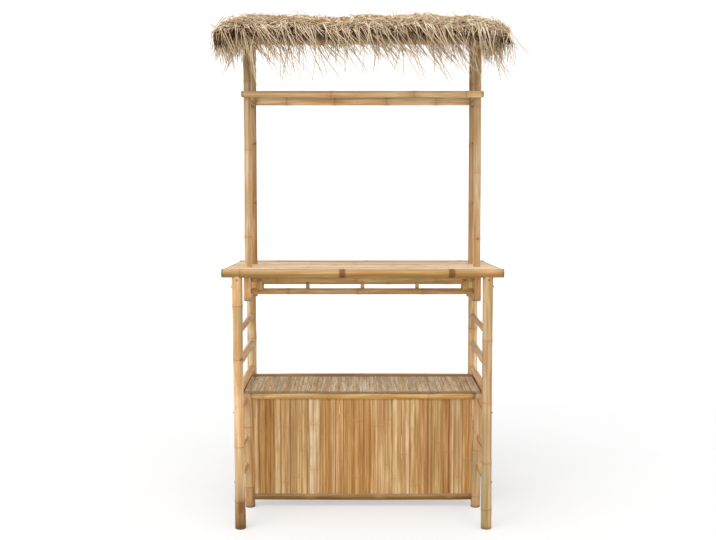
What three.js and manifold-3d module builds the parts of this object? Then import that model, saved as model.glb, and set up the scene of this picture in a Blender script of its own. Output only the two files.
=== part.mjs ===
// Bamboo bar hut with a thatched lean-to roof, as an assembly of separate canes, planks and courses.
// Millimetres, +Z up. X runs along the counter, customers stand at -Y, and z = 0 is the floor.
// Every butt joint is coped: the end of a cane is cut to the round flank of the cane that it meets.

import * as THREE from 'three';
import { mergeVertices } from 'three/addons/utils/BufferGeometryUtils.js';
import Module from 'manifold-3d';

const wasm = await Module();
wasm.setup();

// Fits shared by all pieces
const seat = 0.3; // left between two pieces that touch
const weld = 0.0001; // vertices nearer than this are one vertex
const drillPlay = 0.7; // a drilled hole's radius over the cane that passes through it
const notchDepth = 2; // how deep a lapped cane sits in the cane that it crosses

// Bamboo
const cane = {
  nodeRiseShare: 0.07, // ridge of a node over the cane's radius
  nodeHalfWidth: 6,
  wallShare: 0.26, // wall of a hollow end over the cane's radius
  boreDepth: 22, // open end to the first diaphragm
};

// Counter: two round edge poles with flattened bamboo planks between them
const counter = {
  length: 1056,
  depth: 600,
  top: 988,
  poleRadius: 17,
  poleStandsProud: 4.5,
  plankCount: 5,
  plankThickness: 18,
  plankGap: 2,
  plankEdgeRadius: 5,
  frontPoleNodeShares: [0.067, 0.43, 0.815],
  rearPoleNodeShares: [0.16, 0.52, 0.9],
};

// Legs and the ladder-like sides
const frame = {
  frontLegInset: 60, // counter end to the front leg centres
  rearLegInset: 48, // the rear legs stand a little wider
  counterOverEdge: 25, // counter edge past the leg centres
  legRadius: 20,
  topRailRadius: 11,
  rungHeights: [752, 632, 446, 292],
  rungRadii: [11.5, 14, 9.5, 9.5],
  rungsAboveShelf: 2,
  bottomRailHeight: 179,
  bottomRailRadius: 10,
  lowFrontInset: 4, // rungs under the shelf meet the legs inside their centres
  lowRearInset: 10,
  legNodeShares: {
    front_left: [0.11, 0.36, 0.6, 0.86],
    front_right: [0.08, 0.31, 0.55, 0.81],
    rear_left: [0.16, 0.42, 0.71, 0.9],
    rear_right: [0.13, 0.4, 0.68, 0.88],
  },
  railNodeShares: [0.28, 0.76],
  rungNodeShares: [0.22, 0.68],
};

// Slatted panel at mid depth, between two short posts
const panel = {
  aheadOfMiddle: 12,
  postRadius: 19,
  postTopInset: 1.6, // post top inside the front leg centres
  postFootInset: 11.5,
  topRailRadius: 15,
  bottomRailRadius: 13.5,
  bottomRailHeight: 43,
  stripThickness: 3.2,
  stripCrown: 1.6,
  stripGap: 0.8,
  stripWidthShares: [
    5, 7, 4, 8, 6, 5, 9, 4, 6, 7, 5, 8, 4, 6, 9, 5, 7, 4, 6, 8, 5, 7, 6, 4, 8, 6, 5, 7, 6,
  ],
  battenWidth: 26,
  battenThickness: 8,
  battenHeightShares: [0.22, 0.78],
  battenBite: 0.6, // how far a batten is pressed into the strips that it carries
  groovePlay: 0.5,
  postNodeShares: [0.18, 0.7],
  topRailNodeShares: [0.12, 0.38, 0.63, 0.88],
  bottomRailNodeShares: [0.27, 0.55, 0.85],
};

// Reed shelf behind the panel
const shelf = {
  matTop: 480.8,
  matThickness: 6.5,
  matPastLegCentre: 22,
  matRise: 12, // rear edge over the front edge
  reedPitch: 13,
  reedRise: 2.2,
  sideRailOverMat: 43.2,
  sideRailRadius: 13.5,
  rearRailRadius: 13,
  rearRailOverMat: 7,
  rearRailInset: 13, // rear rail centre ahead of the rear leg centres
  rearRailNodeShares: [0.2, 0.5, 0.79],
};

// Sockets under the counter for the roof posts, and the rails between them
const socket = {
  insetFromLegs: 18, // socket centres inside the front leg centres
  depthSpan: 200,
  radius: 17,
  length: 117, // hangs this far under the planks
  floorAbove: 14,
  floorThickness: 5,
  nodeShares: [0.12],
};
const apron = {
  upperDrop: 30.5, // upper rail's centre under the planks
  railSpacing: 48, // from the upper rail down to the lower one
  railRadius: 12.5,
  rearDrop: 53, // rear rail's centre under the planks
  rearRadius: 14,
  spindleRadius: 7.5,
  spindleSpacingShare: 0.478, // of the way from the middle to a socket
  blockRadius: 15.5,
  blockFromSocket: 47,
  upperNodeShares: [0.22, 0.57, 0.83],
  lowerNodeShares: [0.17, 0.44, 0.71],
  rearNodeShares: [0.31, 0.62, 0.9],
};

// Roof posts with their cross bars
const post = {
  radius: 14,
  nodeShares: {
    front_left: [0.27, 0.49, 0.73],
    front_right: [0.2, 0.42, 0.64],
    rear_left: [0.25, 0.5, 0.71],
    rear_right: [0.24, 0.47, 0.75],
  },
};
const bar = {
  pastPost: 17.5,
  underThatch: 233, // centres under the thatch's underside over the middle
  frontRadius: 12.6,
  rearRadius: 17,
  tieUnderBar: 17,
  tieRadius: 11.5,
  frontNodeShares: [0.14, 0.39, 0.62, 0.86],
  rearNodeShares: [0.17, 0.4, 0.6, 0.81],
};

// Lean-to roof: beams on the posts, battens on the beams, three thatch courses on the battens
const roof = {
  pitch: 8.5, // degrees, rising to the rear
  bedHeight: 1890, // underside of the thatch over the middle of the counter
  insideEdge: 10, // thatch edge inside the counter's edge
  pastEnd: 27, // thatch end past the counter's end
  beamRadius: 12,
  beamInset: 40, // beam end inside the thatch's edge
  battenRadius: 9,
  battenInset: 35, // batten end inside the thatch's end
  battenShares: [-0.36, 0, 0.36],
  beamNodeShares: [0.12, 0.5, 0.88],
  battenNodeShares: [0.2, 0.44, 0.69],
};
const thatch = {
  courses: ['front', 'middle', 'rear'],
  lap: 50,
  noseThickness: 72,
  lappedNose: 36,
  tailThickness: 30,
  steps: 18,
  roundEnd: 125,
  endThicknessShare: 0.24,
  lump: 4,
  lapPlay: 7, // between one course and the next, where they lie on each other
  bladeWidth: 6.5,
  bladeThickness: 2.4,
  rootDepth: 12,
};

// Rows of hanging blades. Each starts inside a course, behind its nose or before its tail,
// and reaches outward and down. Lengths vary by the spread and blades lean sideways by the lean.
const fringes = [
  {
    course: 0, count: 84, behindNose: 10, off: 26, reachOut: 17, drop: 70, spread: 34, lean: 26,
    kneeShare: 0.45,
  },
  { course: 0, count: 62, behindNose: 34, off: 12, reachOut: 3, drop: 52, spread: 20, lean: 18 },
  { course: 0, count: 46, behindNose: 16, off: 56, reachOut: 21, drop: 24, spread: 8, lean: 16 },
  { course: 1, count: 48, behindNose: 16, off: 62, reachOut: 44, drop: 0, spread: 6, lean: 14 },
  { course: 2, count: 48, behindNose: 16, off: 62, reachOut: 44, drop: 0, spread: 6, lean: 14 },
];
const rearFringe = {
  count: 56, beforeTail: 12, off: 12, reachOut: 17, drop: 46, spread: 14, lean: 16,
};
const sideFringe = {
  count: 9, insideEnd: 14, off: 10, reachOut: 14, drop: 62, spread: 16, splay: 46,
};

// Colours
const bambooTones = [0xcda56e, 0xd4b07c, 0xc39a62, 0xd9b98a, 0xbf9a6b];
const plankTones = [0xdcb98c, 0xe2c096, 0xd3b083];
const stripTone = 0xc89f66;
const reedTone = 0xb8a184;
const thatchTones = [0xbfa880, 0xc9b48f, 0xb39b74];

// Places worked out from the sizes above
const sides = [
  ['left', -1],
  ['right', 1],
];
const ends = [
  ['front', -1],
  ['rear', 1],
];
const plankUnderside = counter.top - counter.plankThickness;
const poleY = counter.depth / 2 - counter.poleRadius;
const poleHeight = counter.top + counter.poleStandsProud - counter.poleRadius;
const frontLegX = counter.length / 2 - frame.frontLegInset;
const rearLegX = counter.length / 2 - frame.rearLegInset;
const legX = { front: frontLegX, rear: rearLegX };
const legY = counter.depth / 2 - frame.counterOverEdge;
const panelY = -panel.aheadOfMiddle;
const socketX = frontLegX - socket.insetFromLegs;
const socketY = socket.depthSpan / 2;
const socketTop = plankUnderside - seat;
const socketBottom = plankUnderside - socket.length;
const postFoot = socketBottom + socket.floorAbove + socket.floorThickness + seat;
const matUnderside = shelf.matTop - shelf.matThickness;
const sideRailHeight = shelf.matTop + shelf.sideRailOverMat;
const upperApronHeight = plankUnderside - apron.upperDrop;
const lowerApronHeight = upperApronHeight - apron.railSpacing;
const rearApronHeight = plankUnderside - apron.rearDrop;
const barHeight = roof.bedHeight - bar.underThatch;
const tieHeight = barHeight - bar.tieUnderBar;
const matFront = panelY - panel.postRadius;
const matDepth = legY - frame.legRadius * (1 + cane.nodeRiseShare) - seat - matFront;
const matSlope = Math.asin(shelf.matRise / matDepth);
const roofLength = counter.length + 2 * roof.pastEnd;
const roofDepth = counter.depth - 2 * roof.insideEdge;
const pitch = THREE.MathUtils.degToRad(roof.pitch);
const battenDrop = -roof.battenRadius * (1 + cane.nodeRiseShare) - seat;
const beamDrop = battenDrop - roof.battenRadius + notchDepth - roof.beamRadius;

const hut = new THREE.Group();
let toneCount = 0;

// A closed three.js geometry as a solid that can be joined and cut
function solidFrom(geometry) {
  const bare = geometry.clone();
  bare.deleteAttribute('normal');
  bare.deleteAttribute('uv');
  const merged = mergeVertices(bare, weld);
  const index = merged.index.array;
  const corners = [];
  for (let i = 0; i < index.length; i += 3) {
    const [a, b, c] = index.slice(i, i + 3);
    if (a !== b && b !== c && c !== a) corners.push(a, b, c);
  }
  return new wasm.Manifold(
    new wasm.Mesh({
      numProp: 3,
      vertProperties: merged.attributes.position.array,
      triVerts: new Uint32Array(corners),
    }),
  );
}

function geometryFrom(solid) {
  const mesh = solid.getMesh();
  const geometry = new THREE.BufferGeometry();
  geometry.setAttribute('position', new THREE.BufferAttribute(mesh.vertProperties, mesh.numProp));
  geometry.setIndex(new THREE.BufferAttribute(mesh.triVerts, 1));
  geometry.computeVertexNormals();
  return geometry;
}

function addPiece(name, solid, tone, roughness = 0.55) {
  const material = new THREE.MeshStandardMaterial({ color: tone, roughness, metalness: 0 });
  const mesh = new THREE.Mesh(geometryFrom(solid), material);
  mesh.name = name;
  hut.add(mesh);
}

// One bamboo cane from one point to another. Its nodes stand proud as ridges, and an open end shows
// the bore down to the first diaphragm. With grow it is the plain outer form, larger by that much.
function caneSolid(spec, grow = 0) {
  const { from, to, radius, facets = 8, nodeShares = [], openStart, openEnd } = spec;
  const axis = to.clone().sub(from);
  const length = axis.length();
  const skin = radius + grow;
  const bore = radius * (1 - cane.wallShare);
  const outline = [];
  const hollow = grow === 0;
  if (hollow && openStart) {
    outline.push([0, cane.boreDepth], [bore, cane.boreDepth], [bore, 0]);
  } else {
    outline.push([0, -grow]);
  }
  outline.push([skin, -grow]);
  for (const share of nodeShares) {
    const at = share * length;
    outline.push([skin, at - cane.nodeHalfWidth]);
    outline.push([skin + radius * cane.nodeRiseShare, at]);
    outline.push([skin, at + cane.nodeHalfWidth]);
  }
  outline.push([skin, length + grow]);
  if (hollow && openEnd) {
    outline.push([bore, length], [bore, length - cane.boreDepth], [0, length - cane.boreDepth]);
  } else {
    outline.push([0, length + grow]);
  }
  const points = outline.map(([x, y]) => new THREE.Vector2(x, y));
  return solidFrom(placeOnAxis(new THREE.LatheGeometry(points, facets), from, axis));
}

// Turns a lathe form, whose axis is Y, so that it starts at a point and runs along a direction
function placeOnAxis(geometry, start, direction) {
  const along = direction.clone().normalize();
  const upright = Math.abs(along.z) > Math.SQRT1_2;
  const reference = upright ? new THREE.Vector3(0, -1, 0) : new THREE.Vector3(0, 0, 1);
  const across = new THREE.Vector3().crossVectors(along, reference).normalize();
  const outward = new THREE.Vector3().crossVectors(across, along);
  const frameOfCane = new THREE.Matrix4().makeBasis(across, along, outward);
  frameOfCane.setPosition(start);
  return geometry.applyMatrix4(frameOfCane);
}

// A cane cut to the flanks of its neighbours, each grown by its clearance
function copedCane(spec, neighbours, clearance = seat) {
  return neighbours.reduce(
    (solid, neighbour) => solid.subtract(caneSolid(neighbour, clearance)),
    caneSolid(spec),
  );
}

function addBamboo(name, solid) {
  addPiece(name, solid, bambooTones[toneCount % bambooTones.length]);
  toneCount += 1;
}

function addCane(name, spec, neighbours = []) {
  addBamboo(name, copedCane(spec, neighbours));
}

function boxGeometry(low, high) {
  const size = high.clone().sub(low);
  const box = new THREE.BoxGeometry(size.x, size.y, size.z);
  return box.translate(...low.clone().add(high).multiplyScalar(0.5).toArray());
}

function boxSolid(low, high) {
  return solidFrom(boxGeometry(low, high));
}

// Lays a geometry, drawn level with its front edge at the origin, on the shelf's gentle slope
function onShelf(geometry) {
  geometry.rotateX(matSlope);
  return geometry.translate(0, matFront, matUnderside);
}

// The room of the reed mat, up to a height over its underside and back to a depth from its front
function matRoom(height, depth) {
  const low = at(-counter.length, -counter.depth, -seat);
  return solidFrom(onShelf(boxGeometry(low, at(counter.length, depth, height))));
}

// The space over a level, in which a cane's ridges are planed away so that a board lies flat on it
function spaceOver(height) {
  return boxSolid(
    at(-counter.length, -counter.depth, height),
    at(counter.length, counter.depth, height + counter.top),
  );
}

const at = (x, y, z) => new THREE.Vector3(x, y, z);

// A point of the sloping roof: along its length, up its slope, and off the underside of the thatch
function onRoof(x, upSlope, off) {
  const y = upSlope * Math.cos(pitch) - off * Math.sin(pitch);
  const z = roof.bedHeight + upSlope * Math.sin(pitch) + off * Math.cos(pitch);
  return at(x, y, z);
}

// Canes, as specs, so that each can be built and also cut its neighbours
const poles = {};
for (const [end, sy] of ends) {
  poles[end] = {
    from: at(-counter.length / 2, sy * poleY, poleHeight),
    to: at(counter.length / 2, sy * poleY, poleHeight),
    radius: counter.poleRadius,
    facets: 12,
    nodeShares: counter[`${end}PoleNodeShares`],
    openStart: true,
    openEnd: true,
  };
}

const legs = {};
const posts = {};
const sockets = {};
for (const [end, sy] of ends) {
  for (const [side, sx] of sides) {
    const key = `${end}_${side}`;
    legs[key] = {
      from: at(sx * legX[end], sy * legY, 0),
      to: at(sx * legX[end], sy * legY, plankUnderside - seat),
      radius: frame.legRadius,
      facets: 12,
      nodeShares: frame.legNodeShares[key],
      openStart: true,
    };
    posts[key] = {
      from: at(sx * socketX, sy * socketY, postFoot),
      to: at(sx * socketX, sy * socketY, beamHeightAt(sy * socketY)),
      radius: post.radius,
      nodeShares: post.nodeShares[key],
      openStart: true,
    };
    sockets[key] = {
      from: at(sx * socketX, sy * socketY, socketBottom),
      to: at(sx * socketX, sy * socketY, socketTop),
      radius: socket.radius,
      facets: 12,
      nodeShares: socket.nodeShares,
    };
  }
}

// Height of a roof beam's axis over a place in the depth of the hut
function beamHeightAt(y) {
  const upSlope = (y + beamDrop * Math.sin(pitch)) / Math.cos(pitch);
  return onRoof(0, upSlope, beamDrop).z;
}

function sideCane(sx, height, radius, nodeShares, rearX = rearLegX, frontX = frontLegX) {
  return {
    from: at(sx * frontX, -legY, height),
    to: at(sx * rearX, legY, height),
    radius,
    nodeShares,
  };
}

// Half the distance between the panel posts' axes, which lean inward to their feet
function panelPostX(height) {
  const foot = frontLegX - panel.postFootInset;
  const top = frontLegX - panel.postTopInset;
  return foot + ((top - foot) * height) / matUnderside;
}

const lowRearX = rearLegX - frame.lowRearInset;
const lowFrontX = frontLegX - frame.lowFrontInset;
const rungs = {};
const bottomRails = {};
const sideRails = {};
const panelPosts = {};
for (const [side, sx] of sides) {
  rungs[side] = frame.rungHeights.map((height, i) => {
    const radius = frame.rungRadii[i];
    return i < frame.rungsAboveShelf
      ? sideCane(sx, height, radius, frame.rungNodeShares)
      : sideCane(sx, height, radius, frame.rungNodeShares, lowRearX, lowFrontX);
  });
  bottomRails[side] = sideCane(
    sx, frame.bottomRailHeight, frame.bottomRailRadius, frame.railNodeShares, lowRearX, lowFrontX,
  );
  sideRails[side] = sideCane(sx, sideRailHeight, shelf.sideRailRadius, frame.railNodeShares);
  panelPosts[side] = {
    from: at(sx * panelPostX(-notchDepth), panelY, -notchDepth),
    to: at(sx * panelPostX(matUnderside + notchDepth), panelY, matUnderside + notchDepth),
    radius: panel.postRadius,
    facets: 12,
    nodeShares: panel.postNodeShares,
    openStart: true,
  };
}

// A level cane across the hut, from one side's centre line to the other's
function crossCane(y, height, radius, nodeShares, halfSpan) {
  return { from: at(-halfSpan, y, height), to: at(halfSpan, y, height), radius, nodeShares };
}

function addCounter() {
  const plankEdge = poleY - counter.poleRadius;
  const fieldBox = boxSolid(
    at(-counter.length, -plankEdge, 0),
    at(counter.length, plankEdge, 2 * counter.top),
  );
  for (const [end] of ends) {
    addBamboo(`counter_pole_${end}`, copedCane(poles[end], []).subtract(fieldBox));
  }
  const field = 2 * (plankEdge - seat);
  const pitchOfPlanks = (field + counter.plankGap) / counter.plankCount;
  const width = pitchOfPlanks - counter.plankGap;
  for (let i = 0; i < counter.plankCount; i += 1) {
    const y = -field / 2 + width / 2 + i * pitchOfPlanks;
    let solid = plankSolid(width, y);
    for (const spec of Object.values(posts)) {
      solid = solid.subtract(caneSolid({ ...spec, nodeShares: [] }, drillPlay));
    }
    addPiece(`counter_plank_${i + 1}`, solid, plankTones[i % plankTones.length], 0.6);
  }
}

// A plank lying along X with rounded long edges, its top at the height of the counter
function plankSolid(width, y) {
  const r = counter.plankEdgeRadius;
  const w = width / 2;
  const t = counter.plankThickness;
  const outline = new THREE.Shape();
  outline.moveTo(-w + r, 0);
  outline.lineTo(w - r, 0);
  outline.absarc(w - r, r, r, -Math.PI / 2, 0, false);
  outline.absarc(w - r, t - r, r, 0, Math.PI / 2, false);
  outline.lineTo(-w + r, t);
  outline.absarc(-w + r, t - r, r, Math.PI / 2, Math.PI, false);
  outline.absarc(-w + r, r, r, Math.PI, 1.5 * Math.PI, false);
  const geometry = new THREE.ExtrudeGeometry(outline, {
    depth: counter.length,
    bevelEnabled: false,
    curveSegments: 3,
  });
  const turn = new THREE.Matrix4().makeBasis(at(0, 1, 0), at(0, 0, 1), at(1, 0, 0));
  turn.setPosition(-counter.length / 2, y, plankUnderside);
  return solidFrom(geometry.applyMatrix4(turn));
}

function addFrame() {
  const topRailX = socketX + socket.radius + seat + frame.topRailRadius;
  const topRailHeight = plankUnderside - seat - frame.topRailRadius;
  for (const [side, sx] of sides) {
    const ownLegs = [legs[`front_${side}`], legs[`rear_${side}`]];
    for (const [end] of ends) {
      addCane(`leg_${end}_${side}`, legs[`${end}_${side}`], [poles[end]]);
    }
    const topRail = sideCane(
      sx, topRailHeight, frame.topRailRadius, frame.railNodeShares, topRailX, topRailX,
    );
    const topRailSolid = copedCane(topRail, [...ownLegs, poles.front, poles.rear]);
    addBamboo(`side_top_rail_${side}`, topRailSolid.subtract(spaceOver(plankUnderside - seat)));
    rungs[side].forEach((spec, i) => addCane(`side_rung_${i + 1}_${side}`, spec, ownLegs));
    addCane(`side_bottom_rail_${side}`, bottomRails[side], ownLegs);
    addCane(`shelf_side_rail_${side}`, sideRails[side], ownLegs);
  }
}

// Split bamboo strips side by side, each with its own width and a crowned outer face,
// pressed onto two battens behind them
function stripPanelSolid(halfWidth, bottom, top) {
  const total = panel.stripWidthShares.reduce((sum, share) => sum + share);
  const perShare = (2 * halfWidth) / total;
  let x = -halfWidth;
  let solid = battenSolids(halfWidth, bottom, top);
  for (const share of panel.stripWidthShares) {
    const width = share * perShare;
    solid = solid.add(stripSolid(x + panel.stripGap / 2, x + width - panel.stripGap / 2, bottom, top));
    x += width;
  }
  return solid;
}

function stripSolid(left, right, bottom, top) {
  const outline = new THREE.Shape();
  const front = -panel.stripThickness;
  outline.moveTo(left, 0);
  outline.lineTo(left, front);
  outline.quadraticCurveTo((left + right) / 2, front - 2 * panel.stripCrown, right, front);
  outline.lineTo(right, 0);
  const geometry = new THREE.ExtrudeGeometry(outline, {
    depth: top - bottom,
    bevelEnabled: false,
    curveSegments: 3,
  });
  geometry.translate(0, panelY, bottom);
  return solidFrom(geometry);
}

function battenSolids(halfWidth, bottom, top) {
  const parts = panel.battenHeightShares.map((share) => {
    const middle = bottom + share * (top - bottom);
    return boxSolid(
      at(-halfWidth, panelY - panel.battenBite, middle - panel.battenWidth / 2),
      at(halfWidth, panelY + panel.battenThickness, middle + panel.battenWidth / 2),
    );
  });
  return parts[0].add(parts[1]);
}

function addPanel() {
  const topRailHeight = matUnderside - seat - panel.topRailRadius;
  const topRail = crossCane(
    panelY, topRailHeight, panel.topRailRadius, panel.topRailNodeShares, panelPostX(topRailHeight),
  );
  const bottomRail = crossCane(
    panelY, panel.bottomRailHeight, panel.bottomRailRadius, panel.bottomRailNodeShares,
    panelPostX(panel.bottomRailHeight),
  );
  const bothPosts = [panelPosts.left, panelPosts.right];
  const aboveBearers = matRoom(counter.top, counter.depth);
  const floorRoom = boxSolid(
    at(-counter.length, -counter.depth, -counter.depth),
    at(counter.length, counter.depth, 0),
  );
  for (const [side] of sides) {
    const through = [...rungs[side].slice(frame.rungsAboveShelf), bottomRails[side]];
    const drilled = copedCane(panelPosts[side], through, drillPlay);
    addBamboo(`panel_post_${side}`, drilled.subtract(aboveBearers).subtract(floorRoom));
  }
  const grooveFront = panel.stripThickness + panel.stripCrown + panel.groovePlay;
  const groove = boxSolid(
    at(-rearLegX, panelY - grooveFront, panel.bottomRailHeight),
    at(rearLegX, panelY + panel.groovePlay, topRailHeight),
  );
  addBamboo('panel_top_rail', copedCane(topRail, bothPosts).subtract(aboveBearers).subtract(groove));
  addBamboo('panel_bottom_rail', copedCane(bottomRail, bothPosts).subtract(groove));
  let strips = stripPanelSolid(
    panelPostX(0) - panel.postRadius / 2,
    panel.bottomRailHeight + seat,
    topRailHeight - seat,
  );
  for (const spec of bothPosts) strips = strips.subtract(caneSolid(spec, seat));
  addPiece('panel_strips', strips, stripTone, 0.6);
}

// Reeds lying front to back, side by side, as one ribbed mat
function matSolid(halfWidth) {
  const count = Math.round((2 * halfWidth) / shelf.reedPitch);
  const step = (2 * halfWidth) / count;
  const valley = shelf.matThickness - shelf.reedRise;
  const outline = new THREE.Shape();
  outline.moveTo(-halfWidth, 0);
  outline.lineTo(halfWidth, 0);
  outline.lineTo(halfWidth, valley);
  for (let i = count - 1; i >= 0; i -= 1) {
    const left = -halfWidth + i * step;
    outline.lineTo(left + step / 2, shelf.matThickness);
    outline.lineTo(left, valley);
  }
  const geometry = new THREE.ExtrudeGeometry(outline, { depth: matDepth, bevelEnabled: false });
  geometry.rotateX(Math.PI / 2);
  geometry.translate(0, matDepth, 0);
  return solidFrom(onShelf(geometry));
}

// The mat lies on the panel's top rail and posts, and its rear edge sits in a rebate of the rear rail
function addShelf() {
  const rearRail = crossCane(
    legY - shelf.rearRailInset,
    shelf.matTop + shelf.matRise + shelf.rearRailOverMat - shelf.rearRailRadius,
    shelf.rearRailRadius,
    shelf.rearRailNodeShares,
    rearLegX,
  );
  const rebate = matRoom(shelf.matThickness + seat, matDepth + seat);
  const rearRailSolid = copedCane(rearRail, [legs.rear_left, legs.rear_right]).subtract(rebate);
  addBamboo('shelf_rear_rail', rearRailSolid);
  const mat = matSolid(frontLegX + shelf.matPastLegCentre);
  addPiece('shelf_reed_mat', mat, reedTone, 0.8);
}

// A socket is a short cane whose own node wall closes it: the post stands on that floor
function socketSolid(spec) {
  const height = socketTop - socketBottom;
  const bore = post.radius + drillPlay;
  const floorTop = socket.floorAbove + socket.floorThickness;
  const ridge = socket.nodeShares[0] * height;
  const outline = [
    [0, socket.floorAbove],
    [bore, socket.floorAbove],
    [bore, 0],
    [socket.radius, 0],
    [socket.radius, ridge - cane.nodeHalfWidth],
    [socket.radius * (1 + cane.nodeRiseShare), ridge],
    [socket.radius, ridge + cane.nodeHalfWidth],
    [socket.radius, height],
    [bore, height],
    [bore, floorTop],
    [0, floorTop],
  ];
  const points = outline.map(([x, y]) => new THREE.Vector2(x, y));
  const lathe = new THREE.LatheGeometry(points, spec.facets);
  return solidFrom(placeOnAxis(lathe, spec.from, at(0, 0, 1)));
}

function addSocketsAndApron() {
  for (const [key, spec] of Object.entries(sockets)) {
    addBamboo(`post_socket_${key}`, socketSolid(spec));
  }
  const frontSockets = [sockets.front_left, sockets.front_right];
  const rearSockets = [sockets.rear_left, sockets.rear_right];
  const rails = {
    upper: crossCane(-socketY, upperApronHeight, apron.railRadius, apron.upperNodeShares, socketX),
    lower: crossCane(-socketY, lowerApronHeight, apron.railRadius, apron.lowerNodeShares, socketX),
  };
  const rear = crossCane(socketY, rearApronHeight, apron.rearRadius, apron.rearNodeShares, socketX);
  addCane('apron_upper_rail', rails.upper, frontSockets);
  addCane('apron_lower_rail', rails.lower, frontSockets);
  addCane('apron_rear_rail', rear, rearSockets);
  const upright = (x, radius) => ({
    from: at(x, -socketY, lowerApronHeight),
    to: at(x, -socketY, upperApronHeight),
    radius,
  });
  const bothRails = [rails.upper, rails.lower];
  const spacing = apron.spindleSpacingShare * socketX;
  for (const i of [-1, 0, 1]) {
    addCane(`apron_spindle_${i + 2}`, upright(i * spacing, apron.spindleRadius), bothRails);
  }
  for (const [side, sx] of sides) {
    const blockX = socketX - apron.blockFromSocket;
    const block = { ...upright(sx * blockX, apron.blockRadius), facets: 12 };
    addCane(`apron_block_${side}`, block, bothRails);
  }
}

function addRoofPosts() {
  const reach = socketY + post.radius - notchDepth;
  const halfBar = socketX + bar.pastPost;
  const bars = {
    front: {
      ...crossCane(
        -reach - bar.frontRadius, barHeight, bar.frontRadius, bar.frontNodeShares, halfBar,
      ),
      openStart: true,
      openEnd: true,
    },
    rear: {
      ...crossCane(
        reach + bar.rearRadius, barHeight, bar.rearRadius, bar.rearNodeShares, halfBar,
      ),
      openStart: true,
      openEnd: true,
    },
  };
  const beams = {};
  for (const [side, sx] of sides) {
    beams[side] = {
      from: onRoof(sx * socketX, roof.beamInset - roofDepth / 2, beamDrop),
      to: onRoof(sx * socketX, roofDepth / 2 - roof.beamInset, beamDrop),
      radius: roof.beamRadius,
      nodeShares: roof.beamNodeShares,
      openStart: true,
      openEnd: true,
    };
    addCane(`roof_beam_${side}`, beams[side]);
  }
  for (const [end] of ends) {
    addCane(`cross_bar_${end}`, bars[end]);
    for (const [side] of sides) {
      const key = `${end}_${side}`;
      addCane(`roof_post_${key}`, posts[key], [bars[end], beams[side]]);
    }
  }
  for (const [side, sx] of sides) {
    const tie = {
      from: at(sx * socketX, -socketY, tieHeight),
      to: at(sx * socketX, socketY, tieHeight),
      radius: bar.tieRadius,
      nodeShares: [0.5],
    };
    addCane(`roof_tie_${side}`, tie, [posts[`front_${side}`], posts[`rear_${side}`]]);
  }
  roof.battenShares.forEach((share, i) => {
    const batten = {
      from: onRoof(roof.battenInset - roofLength / 2, share * roofDepth, battenDrop),
      to: onRoof(roofLength / 2 - roof.battenInset, share * roofDepth, battenDrop),
      radius: roof.battenRadius,
      nodeShares: roof.battenNodeShares,
    };
    addCane(`roof_batten_${i + 1}`, batten, [beams.left, beams.right]);
  });
}

// Repeatable scatter between -1 and 1
function scatter(seed) {
  const wave = Math.sin(seed * 12.9898) * 43758.5453;
  return 2 * (wave - Math.floor(wave)) - 1;
}

// A flat blade of three sides that narrows to a point, through any number of points
function bladeSolid(points, width) {
  const positions = [];
  const rings = points.slice(0, -1).map((point, i) => {
    const share = 1 - i / (points.length - 1);
    const half = (width / 2) * share;
    const along = points[i + 1].clone().sub(point).normalize();
    const across = new THREE.Vector3().crossVectors(along, at(0, 1, 0));
    if (across.length() < Math.SQRT1_2) across.crossVectors(along, at(1, 0, 0));
    across.normalize();
    const out = new THREE.Vector3().crossVectors(across, along);
    return [
      point.clone().addScaledVector(across, -half),
      point.clone().addScaledVector(across, half),
      point.clone().addScaledVector(out, thatch.bladeThickness * share),
    ];
  });
  const tip = points[points.length - 1];
  const face = (a, b, c) => positions.push(...a, ...b, ...c);
  face(rings[0][0], rings[0][1], rings[0][2]);
  rings.forEach((ring, i) => {
    for (let j = 0; j < 3; j += 1) {
      const k = (j + 1) % 3;
      if (i + 1 < rings.length) {
        face(ring[k], ring[j], rings[i + 1][k]);
        face(rings[i + 1][k], ring[j], rings[i + 1][j]);
      } else {
        face(ring[k], ring[j], tip);
      }
    }
  });
  const geometry = new THREE.BufferGeometry();
  geometry.setAttribute('position', new THREE.Float32BufferAttribute(positions, 3));
  return solidFrom(geometry);
}

// Where course number i starts, ends, and how thick it is along its slope
const exposure = roofDepth / thatch.courses.length;
const courseNose = (i) => -roofDepth / 2 + i * exposure - (i > 0 ? thatch.lap : 0);
const courseTail = (i) => -roofDepth / 2 + (i + 1) * exposure;
function courseTop(i, upSlope) {
  const noseTop = i === 0 ? thatch.noseThickness : lapTop(i) + thatch.lappedNose;
  const share = (upSlope - courseNose(i)) / (courseTail(i) - courseNose(i));
  return noseTop + share * (thatch.tailThickness - noseTop);
}
function lapTop(i) {
  return courseTop(i - 1, courseNose(i)) + thatch.lapPlay;
}

// The ends of the roof are rounded down
function endFall(x) {
  const past = Math.max(0, Math.abs(x) - (roofLength / 2 - thatch.roundEnd)) / thatch.roundEnd;
  const round = Math.sqrt(Math.max(0, 1 - past * past));
  return thatch.endThicknessShare + (1 - thatch.endThicknessShare) * round;
}

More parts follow.
